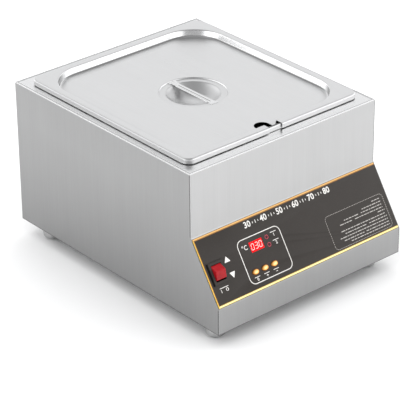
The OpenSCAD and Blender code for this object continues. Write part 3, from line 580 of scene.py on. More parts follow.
def from_loops(loops, cap_start=False, cap_end=False, close=False):
    """A bmesh skinned over loops of points (millimetres) with equal counts."""
    bm = bmesh.new()
    rows = [[bm.verts.new(Vector(p) * MM) for p in loop] for loop in loops]
    pairs = list(zip(rows, rows[1:])) + ([(rows[-1], rows[0])] if close else [])
    for a, b in pairs:
        n = len(a)
        for i in range(n):
            bm.faces.new((a[i], a[(i + 1) % n], b[(i + 1) % n], b[i]))
    if cap_start:
        bm.faces.new(list(reversed(rows[0])))
    if cap_end:
        bm.faces.new(rows[-1])
    return bm


def rounded_loop(w, l, r, z, cx=0.0, cy=PAN_Y, side=4, arc=16):
    """A rounded rectangle as a loop of 4 * (2 * side + arc) points, from the middle of the +X side."""
    out = []
    hw, hl = w / 2, l / 2
    for q in range(4):
        a0 = q * 90.0
        even = q % 2 == 0
        p, s = (hw, hl) if even else (hl, hw)
        ca, sa = math.cos(math.radians(a0)), math.sin(math.radians(a0))
        local = [(p, (s - r) * i / side) for i in range(side)]
        local += [(p - r + r * math.cos(math.radians(90 * i / arc)), s - r + r * math.sin(math.radians(90 * i / arc))) for i in range(arc + 1)]
        local += [((p - r) * (1 - i / side), s) for i in range(1, side)]
        out += [(x * ca - y * sa, x * sa + y * ca) for x, y in local]
    return [(x + cx, y + cy, z) for x, y in out]


def circle_loop(r, z, n, cx=0.0, cy=PAN_Y):
    return [(cx + r * math.cos(2 * math.pi * i / n), cy + r * math.sin(2 * math.pi * i / n), z) for i in range(n)]


def fillet(points, radii, steps=6):
    """A closed polygon with its corners rounded; radii has one entry per point."""
    out = []
    n = len(points)
    for i, p in enumerate(points):
        r = radii[i] if isinstance(radii, (list, tuple)) else radii
        a = Vector(points[i - 1]) - Vector(p)
        b = Vector(points[(i + 1) % n]) - Vector(p)
        if r <= 0 or a.length < 1e-9 or b.length < 1e-9:
            out.append(tuple(p))
            continue
        a.normalize()
        b.normalize()
        half = math.acos(max(-1.0, min(1.0, a.dot(b)))) / 2
        if half > math.radians(89.0):
            out.append(tuple(p))
            continue
        d = r / math.tan(half)
        c = Vector(p) + (a + b).normalized() * (r / math.sin(half))
        s = Vector(p) + a * d - c
        e = Vector(p) + b * d - c
        a0 = math.atan2(s.y, s.x)
        turn_ = math.atan2(s.x * e.y - s.y * e.x, s.dot(e))
        for k in range(steps + 1):
            t = a0 + turn_ * k / steps
            out.append((c.x + r * math.cos(t), c.y + r * math.sin(t)))
    return out


def extruded_x(profile, x0, x1, inset=0.0, matrix=None):
    """A (y, z) profile drawn out along X, its ends drawn in by inset as a soft edge."""
    def ring(x, k):
        if not k:
            return [(x, y, z) for y, z in profile]
        return [(x, y, z) for y, z in inset_loop(profile, k)]

    loops = [ring(x0, inset), ring(x0 + inset, 0), ring(x1 - inset, 0), ring(x1, inset)] if inset else [ring(x0, 0), ring(x1, 0)]
    if matrix is not None:
        loops = [[tuple(matrix @ Vector(p)) for p in loop] for loop in loops]
    return from_loops(loops, cap_start=True, cap_end=True)


def inset_loop(loop, k):
    """A closed 2D loop moved inward by k along its corner normals."""
    n = len(loop)
    area = sum(loop[i - 1][0] * loop[i][1] - loop[i][0] * loop[i - 1][1] for i in range(n))
    s = 1.0 if area > 0 else -1.0
    out = []
    for i, p in enumerate(loop):
        a = (Vector(p) - Vector(loop[i - 1]))
        b = (Vector(loop[(i + 1) % n]) - Vector(p))
        if a.length < 1e-9:
            a = b
        if b.length < 1e-9:
            b = a
        na = Vector((-a.y, a.x)).normalized() * s
        nb = Vector((-b.y, b.x)).normalized() * s
        m = (na + nb)
        m = m / max(1e-6, m.length_squared) * 2
        out.append((p[0] + m.x * k, p[1] + m.y * k))
    return out


def curve_mesh(name, splines, thickness, bevel, matrix, segments=2):
    """A flat plate from closed 2D outlines (holes are outlines inside), with rounded edges, as a bmesh.
    It lies from 0 to thickness along the matrix's Z."""
    cu = bpy.data.curves.new(name, "CURVE")
    cu.dimensions = "2D"
    cu.fill_mode = "BOTH"
    cu.extrude = (thickness / 2 - bevel) * MM
    cu.bevel_depth = bevel * MM
    cu.bevel_resolution = segments
    cu.offset = -bevel * MM
    for loop in splines:
        sp = cu.splines.new("POLY")
        sp.points.add(len(loop) - 1)
        for pt, p in zip(sp.points, loop):
            pt.co = (p[0] * MM, p[1] * MM, 0.0, 1.0)
        sp.use_cyclic_u = True
    ob = bpy.data.objects.new(name + "_curve", cu)
    scene.collection.objects.link(ob)
    me = bpy.data.meshes.new_from_object(ob.evaluated_get(bpy.context.evaluated_depsgraph_get()))
    bpy.data.objects.remove(ob)
    bpy.data.curves.remove(cu)
    bm = bmesh.new()
    bm.from_mesh(me)
    bpy.data.meshes.remove(me)
    m = matrix.copy()
    m.translation = m.translation * MM
    bmesh.ops.translate(bm, verts=bm.verts, vec=(0, 0, thickness / 2 * MM))
    bmesh.ops.transform(bm, matrix=m, verts=bm.verts)
    tidy(bm)
    return bm


def rect(w, l, r=0.0, cx=0.0, cy=0.0, steps=5):
    pts = [(cx - w / 2, cy - l / 2), (cx + w / 2, cy - l / 2), (cx + w / 2, cy + l / 2), (cx - w / 2, cy + l / 2)]
    return fillet(pts, r, steps) if r else pts


def box2(x0, y0, x1, y1):
    return [(x0, y0), (x1, y0), (x1, y1), (x0, y1)]


def ellipse(l, w, cx=0.0, cy=0.0, n=48):
    return [(cx + l / 2 * math.cos(2 * math.pi * i / n), cy + w / 2 * math.sin(2 * math.pi * i / n)) for i in range(n)]


def text_mesh(name, body, size, matrix, thickness=0.05, bold=0.02, align="CENTER", shear=0.0):
    """Figures from the built-in font as a flat raised print, as a bmesh. size is the type's size in millimetres."""
    cu = bpy.data.curves.new(name, "FONT")
    cu.body = body
    cu.size = size * MM
    cu.align_x = align
    cu.align_y = "CENTER"
    cu.extrude = thickness / 2 * MM
    cu.offset = bold * size * MM
    cu.shear = shear
    cu.resolution_u = 3
    ob = bpy.data.objects.new(name + "_text", cu)
    scene.collection.objects.link(ob)
    me = bpy.data.meshes.new_from_object(ob.evaluated_get(bpy.context.evaluated_depsgraph_get()))
    bpy.data.objects.remove(ob)
    bpy.data.curves.remove(cu)
    bm = bmesh.new()
    bm.from_mesh(me)
    bpy.data.meshes.remove(me)
    m = matrix.copy()
    m.translation = m.translation * MM
    bmesh.ops.translate(bm, verts=bm.verts, vec=(0, 0, thickness / 2 * MM))
    bmesh.ops.transform(bm, matrix=m, verts=bm.verts)
    tidy(bm)
    return bm


def join(parts):
    """Several bmeshes as one."""
    out = bmesh.new()
    for b in parts:
        me = bpy.data.meshes.new("part")
        b.to_mesh(me)
        b.free()
        out.from_mesh(me)
        bpy.data.meshes.remove(me)
    return out


def cut(bm, cutters, name="cut"):
    """bm less every cutter, by exact boolean."""
    base = to_mesh(name, bm)
    ob = bpy.data.objects.new(name, base)
    scene.collection.objects.link(ob)
    temp = []
    for i, c in enumerate(cutters):
        cm = to_mesh(f"{name}_{i}", c)
        co = bpy.data.objects.new(f"{name}_{i}", cm)
        scene.collection.objects.link(co)
        temp.append(co)
        mod = ob.modifiers.new("cut", "BOOLEAN")
        mod.operation = "DIFFERENCE"
        mod.solver = "EXACT"
        mod.object = co
    bpy.context.view_layer.update()
    me = bpy.data.meshes.new_from_object(ob.evaluated_get(bpy.context.evaluated_depsgraph_get()))
    out = bmesh.new()
    out.from_mesh(me)
    bpy.data.meshes.remove(me)
    for o in [ob, *temp]:
        m = o.data
        bpy.data.objects.remove(o)
        bpy.data.meshes.remove(m)
    tidy(out)
    return out


def lathe(profile, centres, n=64, base_z=0.0):
    """A closed (r, z) profile turned round a vertical axis at each centre."""
    parts = []
    for cx, cy in centres:
        loops = [circle_loop(max(r, 1e-4), z + base_z, n, cx, cy) for r, z in profile]
        parts.append(from_loops(loops, close=True))
    bm = join(parts)
    tidy(bm)
    return bm


def dress(node, mat, bevel=0.0, segments=2, angle=35.0):
    """Gives a CAD node its material and, with modifiers only, softened edges."""
    ob = nodes[node]
    ob.data.materials.clear()
    ob.data.materials.append(mat)
    if bevel:
        w = ob.modifiers.new("weld", "WELD")
        w.merge_threshold = 1e-6
        b = ob.modifiers.new("bevel", "BEVEL")
        b.width = bevel * MM
        b.segments = segments
        b.limit_method = "ANGLE"
        b.angle_limit = math.radians(angle)
        b.use_clamp_overlap = True
        n = ob.modifiers.new("normals", "WEIGHTED_NORMAL")
        n.keep_sharp = False
        n.weight = 80
    return ob


# ---------------------------------------------------------------- casing
dress("side_panel_left", SIDE_L, 0.35, 3)
dress("side_panel_right", SIDE_R, 0.35, 3)
dress("back_panel", BACK, 0.2)
dress("bottom_plate", BASE, 0.15)
dress("top_deck", DECK, 0.3, 3)
dress("casing_screws", ZINC)

# The front sheet: two folds with their bend radii, and the cut-outs behind the panel film.
mitre = math.tan(math.atan2(58.0, 88.6) / 2)
front_profile = fillet(
    [(TOP_FRONT_Y, DECK_Z), (TOP_FRONT_Y, SLOPE_TOP_Z), (FRONT_Y, SLOPE_Z), (FRONT_Y, BASE_Z), (FRONT_Y + 1, BASE_Z),
     (FRONT_Y + 1, BASE_Z + 1.2), (FRONT_Y + 13.5, BASE_Z + 1.2), (FRONT_Y + 13.5, BASE_Z + 2.2), (FRONT_Y + 1, BASE_Z + 2.2),
     (FRONT_Y + 1, SLOPE_Z - mitre), (TOP_FRONT_Y + 1, SLOPE_TOP_Z - mitre), (TOP_FRONT_Y + 1, DECK_Z)],
    [0.4, 0.8, 1.8, 0.4, 0.3, 0.0, 0.3, 0.3, 0.0, 0.8, 1.8, 0.4])
front = extruded_x(front_profile, -HALF_W + 1.2, HALF_W - 1.2, 0.15)
tidy(front)
SWITCH = (22.3, 57.8)
DISPLAY = (100.85, 44.6)
LEDS = [(122.0, 39.5), (122.0, 50.9)]
KEYS = [(82.3, 78.3), (100.0, 78.3), (117.7, 78.3)]


def holes(grow=0.0):
    """The panel's cut-outs as outlines in slope coordinates (X = u, Y = -v)."""
    out = [rect(26.2 + grow, 29.6 + grow, 0, SWITCH[0], -SWITCH[1]), rect(24.2 + grow, 15.2 + grow, 0, DISPLAY[0], -DISPLAY[1])]
    out += [ellipse(5.0 + grow, 5.0 + grow, u, -v, 40) for u, v in LEDS]
    out += [ellipse(13.1 + grow, 8.1 + grow, u, -v) for u, v in KEYS]
    return out


def prism(loop, w0, w1, matrix):
    m = matrix
    return from_loops([[tuple(m @ Vector((x, y, w))) for x, y in loop] for w in (w0, w1)], cap_start=True, cap_end=True)


cutters = []
for h in holes(0.1):
    c = prism(h, -3, 3, slope_matrix())
    tidy(c)
    cutters.append(c)
for x in (-100, 0, 100):
    c = prism(ellipse(4.2, 4.2, x, FRONT_Y + 8, 24), 25, 30, Matrix.Identity(4))
    tidy(c)
    cutters.append(c)
for x in (-1, 1):
    c = prism(box2(x * 159 if x > 0 else -180, FRONT_Y + 1.05, 180 if x > 0 else -159, FRONT_Y + 15), 25, 30, Matrix.Identity(4))
    tidy(c)
    cutters.append(c)
front = cut(front, cutters, "front")
put("front_sheet", to_mesh("front_sheet", front), FRONT, "casing", ["front_panel"])

# ---------------------------------------------------------------- panel film and its print
slope0 = slope_matrix()
film_outline = rect(351.2, 103.3, 0.6, HALF_W, -(2.0 + 105.3) / 2)
overlay = curve_mesh("panel_film", [film_outline] + holes(0.0), 0.4, 0.1, slope0, 1)
PANEL = bakelite_print("panel_film")
put("panel_film", to_mesh("panel_film", overlay), PANEL, "casing", ["control_overlay"])

WHITE = printed("print_white", col("f2f0ec"), col("dedbd5"))
PALE = printed("print_pale", col("bdb8b2"), col("a39e98"))
GOLD_D = printed("print_gold_deep", col("a4702a"), col("8f6022"), 0.38)
GOLD_M = printed("print_gold_mid", col("e9b86e"), col("dda65a"), 0.34)
GOLD_L = printed("print_gold_light", col("fdf2b0"), col("f8e592"), 0.32)
GOLD_Y = printed("print_gold_yellow", col("f3c64c"), col("e8b63c"), 0.34)
# Near-black for the strip of painted shade beside the switch bezel.
SHADE_BLACK = plastic("painted_shade_black", grey(0.006), grey(0.004), 0.62, specular=0.12, wear_and_sheen=1.0)
OLIVE = printed("print_gold_olive", col("b98f2e"), col("a67f26"), 0.36)
BROWN = printed("print_brown", col("1c0d03"), col("2c1605"), 0.4)
PINK = printed("print_pink", col("e2566a"), col("cf4257"), 0.4)
INK = 0.04
TOP_W = 0.4


def print_on(name, outlines, mat, lift=0.0):
    """Flat raised print on the film. outlines are closed loops in slope coordinates; inner loops are holes."""
    bm = curve_mesh(name, outlines, INK, 0.0, slope_matrix(w=TOP_W + lift), 0)
    return put(name, to_mesh(name, bm), mat, "casing", smooth=0)


def frame_outline(u0, v0, u1, v1, r, t, steps=8):
    cx, cy = (u0 + u1) / 2, -(v0 + v1) / 2
    return [rect(u1 - u0 + t, v1 - v0 + t, r + t / 2, cx, cy, steps), rect(u1 - u0 - t, v1 - v0 - t, r - t / 2, cx, cy, steps)]


def band(u0, v0, u1, v1):
    return box2(u0, -v1, u1, -v0)


# Gold border: top, left and bottom, each a lighter band between deeper lines.
print_on("border_top_light", [band(1.9, 2.5, 352.1, 4.5)], GOLD_M)
print_on("border_top_deep", [band(4.4, 4.55, 352.1, 5.7)], GOLD_D)
print_on("border_left_light", [band(1.9, 4.55, 3.3, 104.7)], GOLD_Y)
print_on("border_left_deep", [band(3.3, 5.8, 4.3, 101.2)], GOLD_D)
print_on("border_bottom_deep", [band(3.4, 101.3, 352.1, 102.0)], OLIVE)
print_on("border_bottom_light", [band(3.4, 102.05, 352.1, 104.35)], GOLD_L)
print_on("border_bottom_edge", [band(3.4, 104.4, 352.1, 104.7)], GOLD_Y)

# White frame round the display and the keys.
print_on("key_frame", frame_outline(68.6, 29.8, 147.7, 94.1, 9.0, 1.2), WHITE)


def triangle(u, v, du, dv):
    """A filled arrowhead: apex at (u, v), base dv below it and du wide."""
    return fillet([(u, -v), (u - du / 2, -(v + dv)), (u + du / 2, -(v + dv))], 0.5, 3)


print_on("arrow_up", [triangle(44.0, 41.2, 10.8, 8.6)], WHITE)
print_on("arrow_down", [triangle(45.0, 73.7, 10.0, -8.9)], WHITE)

# Numbers along a temperature scale, where the photo has a title.
scale_parts = []
tick_parts = []
for i in range(6):
    u = 92.0 + 30.6 * i
    scale_parts.append(text_mesh("n", str(30 + 10 * i), 12.4, slope_matrix(u + 6.2, 12.9, TOP_W), INK, 0.022))
    for k in range(3):
        if i < 5:
            uu = u + 6.2 + 30.6 * (k + 2) / 6
            hgt = 5.0 if k == 1 else 2.6
            tick_parts.append(curve_mesh("t", [rect(1.1, hgt, 0.3, uu, -12.9, 2)], INK, 0.0, slope_matrix(w=TOP_W), 0))
put("scale_numbers", to_mesh("scale_numbers", join(scale_parts)), WHITE, "casing", smooth=0)
put("scale_ticks", to_mesh("scale_ticks", join(tick_parts)), WHITE, "casing", smooth=0)

# Small marks: degrees sign by the display, figures by the lamps and keys, I and O under the switch.
small = [text_mesh("deg", "°C", 9.6, slope_matrix(79.6, 42.2, TOP_W), INK, 0.012)]


def bar(u0, u1, v, t=0.9):
    return curve_mesh("bar", [rect(u1 - u0, t, 0.3, (u0 + u1) / 2, -v, 2)], INK, 0.0, slope_matrix(w=TOP_W), 0)


for (u, v), s in zip([(135.4, 40.2), (135.4, 52.0)], ["1", "2"]):
    small.append(text_mesh("lamp", s, 6.2, slope_matrix(u, v, TOP_W), INK, 0.02))
    small.append(bar(u - 5.4, u + 5.4, v - 4.2))
for (u, v), s in zip(KEYS, ["0", "+", "−"]):
    small.append(text_mesh("key", s, 6.4, slope_matrix(u, 89.6, TOP_W), INK, 0.02))
    small.append(bar(u - 5.0, u + 5.0, 85.9))
small.append(text_mesh("onoff", "I    O", 6.4, slope_matrix(22.8, 84.2, TOP_W), INK, 0.02))
small.append(bar(15.0, 30.6, 79.8))
put("small_marks", to_mesh("small_marks", join(small)), printed("print_grey", col("efece8"), col("dedad5")), "casing", smooth=0)

# Dashed frame with plain rules at the right.
dashes = []


def dash(u0, v0, u1, v1, t=0.6):
    a, b = Vector((u0, -v0)), Vector((u1, -v1))
    d = (b - a).normalized() * (t / 2)
    n = Vector((-d.y, d.x))
    loop = [tuple(a - d - n), tuple(b + d - n), tuple(b + d + n), tuple(a - d + n)]
    dashes.append(curve_mesh("dash", [loop], INK, 0.0, slope_matrix(w=TOP_W), 0))


DU0, DU1, DV0, DV1, DR = 229.7, 344.6, 48.1, 99.0, 6.0
step, length = 3.2, 1.6
path = rect(DU1 - DU0, DV1 - DV0, DR, (DU0 + DU1) / 2, -(DV0 + DV1) / 2, 10)
acc, on = 0.0, True
pos = 0.0
perim = []
for i in range(len(path)):
    perim.append((Vector(path[i]), Vector(path[(i + 1) % len(path)])))
total = sum((b - a).length for a, b in perim)


def at(s):
    for a, b in perim:
        d = (b - a).length
        if s <= d:
            return a + (b - a) * (s / d if d else 0)
        s -= d
    return perim[-1][1]


k = 0.0
while k < total:
    a, b = at(k), at(min(total - 0.01, k + length))
    dash(a.x, -a.y, b.x, -b.y)
    k += step
put("dashed_frame", to_mesh("dashed_frame", join(dashes)), PALE, "casing", smooth=0)

rules = []
rows = [(54.0, 1), (58.5, 0), (63.0, 0), (67.5, 0), (72.0, 1), (77.0, 0), (81.5, 0), (86.0, 0), (90.5, 0), (94.6, 0)]
spans = [[(322, 338)], [(300, 338)], [(262, 292), (296, 338)], [(252, 276), (282, 338)], [(326, 340)],
         [(250, 340)], [(256, 300), (304, 340)], [(244, 340)], [(250, 290), (294, 340)], [(262, 340)]]
for (v, _), row in zip(rows, spans):
    for u0, u1 in row:
        a, j = u0, 0
        while a < u1 - 1.0:
            b = min(u1, a + (5.2, 3.4, 7.6, 2.6, 4.4)[(j + int(v)) % 5])
            rules.append(curve_mesh("rule", [rect(b - a, 1.15, 0.3, (a + b) / 2, -v, 2)], INK, 0.0, slope_matrix(w=TOP_W), 0))
            a, j = b + 1.3, j + 1
FAINT = printed("print_faint", col("c9c5c0"), col("b4b0ab"))
put("plain_rules", to_mesh("plain_rules", join(rules)), FAINT, "casing", smooth=0)

# Rings round the lamps and keys.
for i, (u, v) in enumerate(LEDS):
    print_on(f"lamp_ring_{i + 1}", [ellipse(6.1, 6.1, u, -v, 40), ellipse(5.0, 5.0, u, -v, 40)], PINK)
for i, (u, v) in enumerate(KEYS):
    print_on(f"key_ring_{i + 1}", [ellipse(16.6, 11.4, u, -v), ellipse(13.3, 8.3, u, -v)], BROWN)

# ---------------------------------------------------------------- display
RED = lit_red("display_red", col("e60e16"), col("cc0910"), 0.62)
DIGIT = printed("digit_light", col("ffcdc8"), col("ffbab4"), 0.3, emission=0.62)
lens = join([curve_mesh("lens", [rect(24.0, 15.0, 0.5, DISPLAY[0], -DISPLAY[1])], 1.35, 0.12, slope_matrix(w=-1.2), 2),
             curve_mesh("lens_foot", [rect(28.0, 19.0, 0.8, DISPLAY[0], -DISPLAY[1])], 0.98, 0.15, slope_matrix(w=-2.2), 2)])
put("display_lens", to_mesh("display_lens", lens), RED, "casing", ["display_window"])
SEG = {"0": "abcdef", "3": "abcdg"}


def digit(ch, u, v, h=8.6, w=4.6, t=0.95, lean=0.12):
    """A seven-segment figure centred at (u, v) as closed outlines."""
    hw, hh, g = w / 2, h / 2, 0.16
    bars = {
        "a": ((-hw, hh), (hw, hh)), "g": ((-hw, 0), (hw, 0)), "d": ((-hw, -hh), (hw, -hh)),
        "f": ((-hw, 0), (-hw, hh)), "b": ((hw, 0), (hw, hh)), "e": ((-hw, -hh), (-hw, 0)), "c": ((hw, -hh), (hw, 0)),
    }
    out = []
    for s in SEG[ch]:
        a, b = Vector(bars[s][0]), Vector(bars[s][1])
        d = (b - a).normalized()
        n = Vector((-d.y, d.x)) * (t / 2)
        a2, b2 = a + d * g, b - d * g
        q = d * (t / 2)
        loop = [a2, a2 + q + n * -1, b2 - q + n * -1, b2, b2 - q + n, a2 + q + n]
        out.append([(p.x + lean * p.y + u, p.y - v) for p in loop])
    return out


digits = []
for i, ch in enumerate("030"):
    for loop in digit(ch, DISPLAY[0] + (i - 1) * 7.3, DISPLAY[1]):
        digits.append(curve_mesh("seg", [loop], 0.05, 0.0, slope_matrix(w=0.16), 0))
put("display_digits", to_mesh("display_digits", join(digits)), DIGIT, "casing", smooth=0)
cover = curve_mesh("display_film", [rect(23.6, 14.6, 0.5, DISPLAY[0], -DISPLAY[1])], 0.06, 0.02, slope_matrix(w=0.235), 1)
put("display_film", to_mesh("display_film", cover), film("display_film"), "casing")

# ---------------------------------------------------------------- lamps
LAMP = lit_red("lamp_red", col("5a3338"), col("45282c"), 0.05, 0.3)
lamp_profile = [(0.02, -12.0), (2.9, -12.0), (2.9, -11.0), (2.4, -10.9), (2.4, 0.05)]
for k in range(1, 9):
    a = math.radians(90 * k / 8 * 0.62)
    lamp_profile.append((2.4 * math.cos(math.radians(90 * k / 8)), 0.05 + 1.24 * math.sin(math.radians(90 * k / 8))))
lamps = []
for u, v in LEDS:
    m = slope_matrix(u, v, 0)
    loops = [[tuple(m @ Vector((max(r, 0.01) * math.cos(2 * math.pi * i / 32), max(r, 0.01) * math.sin(2 * math.pi * i / 32), z))) for i in range(32)] for r, z in lamp_profile]
    b = from_loops(loops, cap_start=True, cap_end=True)
    lamps.append(b)
lamps = join(lamps)
tidy(lamps)
put("lamps", to_mesh("lamps", lamps), LAMP, "casing", ["indicator_leds"])

# ---------------------------------------------------------------- keys
GOLD = key_gold("key_gold", [(u - HALF_W) * MM for u, v in KEYS])
for (u, v), name, body in zip(KEYS, ["button_set", "button_up", "button_down"], ["key_set", "key_up", "key_down"]):
    m = slope_matrix(u, v, 0)

    def oval(l, w, z, n=64, dome=False):
        out = []
        for i in range(n):
            x, y = l / 2 * math.cos(2 * math.pi * i / n), w / 2 * math.sin(2 * math.pi * i / n)
            zz = z + (-10.4 + math.sqrt(169.0 - x * x - y * y) if dome else 0.0)
            out.append(tuple(m @ Vector((x, y, zz))))
        return out

    loops = [oval(3.6, 3.6, -3.45), oval(4.0, 4.0, -3.25), oval(4.0, 4.0, -2.2), oval(14.8, 9.8, -2.2), oval(15.1, 10.1, -2.05), oval(15.1, 10.1, -1.35),
             oval(14.8, 9.8, -1.2), oval(12.5, 7.5, -1.2), oval(12.5, 7.5, -0.42, dome=True)]
    for s, d in ((0.992, -0.22), (0.97, -0.1), (0.93, -0.03), (0.86, 0.0), (0.72, 0.0), (0.55, 0.0), (0.38, 0.0), (0.2, 0.0), (0.06, 0.0)):
        loops.append(oval(12.5 * s, 7.5 * s, d, dome=True))
    b = from_loops(loops, cap_start=True, cap_end=True)
    tidy(b)
    put(name + "_cap", to_mesh(name, b), GOLD, body, [name], smooth=45)

# ---------------------------------------------------------------- rocker switch
dress("switch_housing", BEZEL, 0.35, 3)
RED_ROCKER = plastic("rocker_red", col("ad171f"), col("97131b"), 0.34, grain=1600.0, bump=0.05, coat=0.08, specular=0.22, wear_and_sheen=1.15)
tilt = slope_matrix(SWITCH[0], SWITCH[1], -3.0) @ Matrix.Rotation(math.radians(-9.0), 4, "X")
rocker_profile = fillet([(-10.9, 6), (-0.8, 12), (0.8, 12), (10.9, 6), (10.7, 2.5), (3.5, -4.5), (-3.5, -4.5), (-10.7, 2.5)],
                        [0.9, 0.8, 0.8, 0.9, 0.8, 0.8, 0.8, 0.8], 4)
rocker = extruded_x(rocker_profile, -8.7, 8.7, 0.45, tilt)
pin = [[tuple(tilt @ Vector((x, 2.0 * math.cos(2 * math.pi * i / 32), 2.0 * math.sin(2 * math.pi * i / 32)))) for i in range(32)] for x in (-11.2, -8.65)]
pin2 = [[tuple(tilt @ Vector((x, 2.0 * math.cos(2 * math.pi * i / 32), 2.0 * math.sin(2 * math.pi * i / 32)))) for i in range(32)] for x in (8.65, 11.2)]
rocker = join([rocker, from_loops(pin, True, True), from_loops(pin2, True, True)])
tidy(rocker)
put("rocker", to_mesh("rocker", rocker), RED_ROCKER, "rocker", ["switch_rocker"])

# A near-black strip along the bezel's left side: painted shade standing in for the bezel's shaded left face.
shade_outline = fillet([(7.5, 0.43), (8.42, 0.43), (8.42, 2.26), (9.5, 2.26), (9.5, 2.5), (7.9, 2.5), (7.5, 2.1)], [0.1, 0.1, 0, 0.1, 0.1, 0.3, 0.3], 3)
shade_matrix = slope_matrix()
shade_loops = [[tuple(shade_matrix @ Vector((u, -v, w))) for u, w in (shade_outline if k == 0 else inset_loop(shade_outline, k))] for v, k in ((41.9, 0.06), (42.1, 0), (73.5, 0), (73.7, 0.06))]
shade_strip = from_loops(shade_loops, True, True)
tidy(shade_strip)
put("switch_shade_strip", to_mesh("switch_shade_strip", shade_strip), SHADE_BLACK, "casing")

# ---------------------------------------------------------------- pan
def shell(name, loops, thickness, cap=True):
    """A sheet skinned over loops, given its thickness behind its face."""
    bm = from_loops(loops)
    if cap:
        last = list(bm.verts)[-len(loops[-1]):]
        c = bm.verts.new(sum((v.co for v in last), Vector()) / len(last))
        n = len(last)
        for i in range(n):
            bm.faces.new((last[i], last[(i + 1) % n], c))
    bmesh.ops.remove_doubles(bm, verts=bm.verts, dist=1e-7)
    bmesh.ops.recalc_face_normals(bm, faces=bm.faces)
    up = sum(f.normal.z * f.calc_area() for f in bm.faces)
    if up < 0:
        bmesh.ops.reverse_faces(bm, faces=bm.faces)
    ob = bpy.data.objects.new(name, to_mesh(name, bm))
    scene.collection.objects.link(ob)
    mod = ob.modifiers.new("sheet", "SOLIDIFY")
    mod.thickness = thickness * MM
    mod.offset = -1.0
    mod.use_even_offset = True
    mod.use_rim = True
    me = bpy.data.meshes.new_from_object(ob.evaluated_get(bpy.context.evaluated_depsgraph_get()))
    out = bmesh.new()
    out.from_mesh(me)
    bpy.data.meshes.remove(me)
    old = ob.data
    bpy.data.objects.remove(ob)
    bpy.data.meshes.remove(old)
    tidy(out)
    return out


def arc(cx, cz, r, a0, a1, n):
    """Points (x, z) on an arc, angles in degrees."""
    return [(cx + r * math.cos(math.radians(a0 + (a1 - a0) * i / n)), cz + r * math.sin(math.radians(a0 + (a1 - a0) * i / n))) for i in range(n + 1)]


def rect_loops(path_, w0, l0, r0, x0):
    """Rounded rectangles that follow a path of (x, z), where x0 is the half width that has the corner radius r0."""
    return [rounded_loop(w0 + 2 * (x - x0), l0 + 2 * (x - x0), max(1.0, r0 + (x - x0)), z) for x, z in path_]


PAN_TOP = 263.4
pan_loops = rect_loops([(162.0, 255.9), (162.0, 261.4)] + arc(160.0, 261.4, 2.0, 12, 90, 6), 324.0, 354.0, 13.0, 162.0)
# Flange to wall: the wall leans in by 11 mm over 100 mm.
lean = math.degrees(math.atan2(11.1, 101.0))
roll = arc(157.6, PAN_TOP - 4.5, 4.5, 90, 180 + lean - 2 * lean, 9)
pan_loops += rect_loops(roll, 306.2, 340.2, 60.1, 153.1)
wall_x = lambda z: 153.1 - (264.4 - z) * math.tan(math.radians(lean))
for z in (240.0, 215.0, 195.0):
    pan_loops += rect_loops([(wall_x(z), z)], 306.2, 340.2, 60.1, 153.1)
BR = 14.0
cz = 163.4 + BR
cxf = wall_x(163.4 + BR * (1 - math.sin(math.radians(lean)))) - BR * math.cos(math.radians(lean))
pan_loops += rect_loops(arc(cxf, cz, BR, -lean, -90, 8), 306.2, 340.2, 60.1, 153.1)
pan_loops += rect_loops([(cxf - 3.0, 163.38)], 306.2, 340.2, 60.1, 153.1)
pan = shell("pan_sheet", pan_loops, 0.8)
put("pan_pressed", to_mesh("pan_pressed", pan), PAN, "pan_group", ["pan"], smooth=38)

# ---------------------------------------------------------------- lid
lid_loops = rect_loops([(163.5, 256.55), (163.5, 259.5), (163.5, 262.0)] + arc(161.0, 262.0, 2.5, 11, 90, 7), 327.0, 358.0, 14.5, 163.5)
draft = 13.0
lid_loops += rect_loops([(154.6, LID_TOP)], 305.2, 335.2, 60.0, 152.6)
lid_loops += rect_loops(arc(152.6, LID_TOP - 2.0, 2.0, 90, 180 - draft, 7), 305.2, 335.2, 60.0, 152.6)
foot_z = LID_FLOOR + 4.0
x_top = 152.6 - 2.0 * math.cos(math.radians(draft))
z_top = LID_TOP - 2.0 + 2.0 * math.sin(math.radians(draft))
z_foot = foot_z - 4.0 * math.sin(math.radians(draft))
x_foot = x_top - (z_top - z_foot) * math.tan(math.radians(draft))
cx_foot = x_foot - 4.0 * math.cos(math.radians(draft))
lid_loops += rect_loops(arc(cx_foot, foot_z, 4.0, -draft, -90, 8), 305.2, 335.2, 60.0, 152.6)
lid_loops += rect_loops([(cx_foot - 2.0, LID_FLOOR)], 305.2, 335.2, 60.0, 152.6)
N = len(lid_loops[0])
lid_loops.append(circle_loop(62.0, LID_FLOOR, N))
lid_loops.append(circle_loop(53.0, LID_FLOOR, N))


def smooth_steps(p0, p1, p2, r, n=5):
    """A rounded corner at p1 in an (r, z) path."""
    a = (Vector(p0) - Vector(p1)).normalized()
    b = (Vector(p2) - Vector(p1)).normalized()
    s, e = Vector(p1) + a * r, Vector(p1) + b * r
    out = []
    for i in range(n + 1):
        t = i / n
        q = (1 - t) ** 2 * s + 2 * t * (1 - t) * Vector(p1) + t * t * e
        out.append((q.x, q.y))
    return out


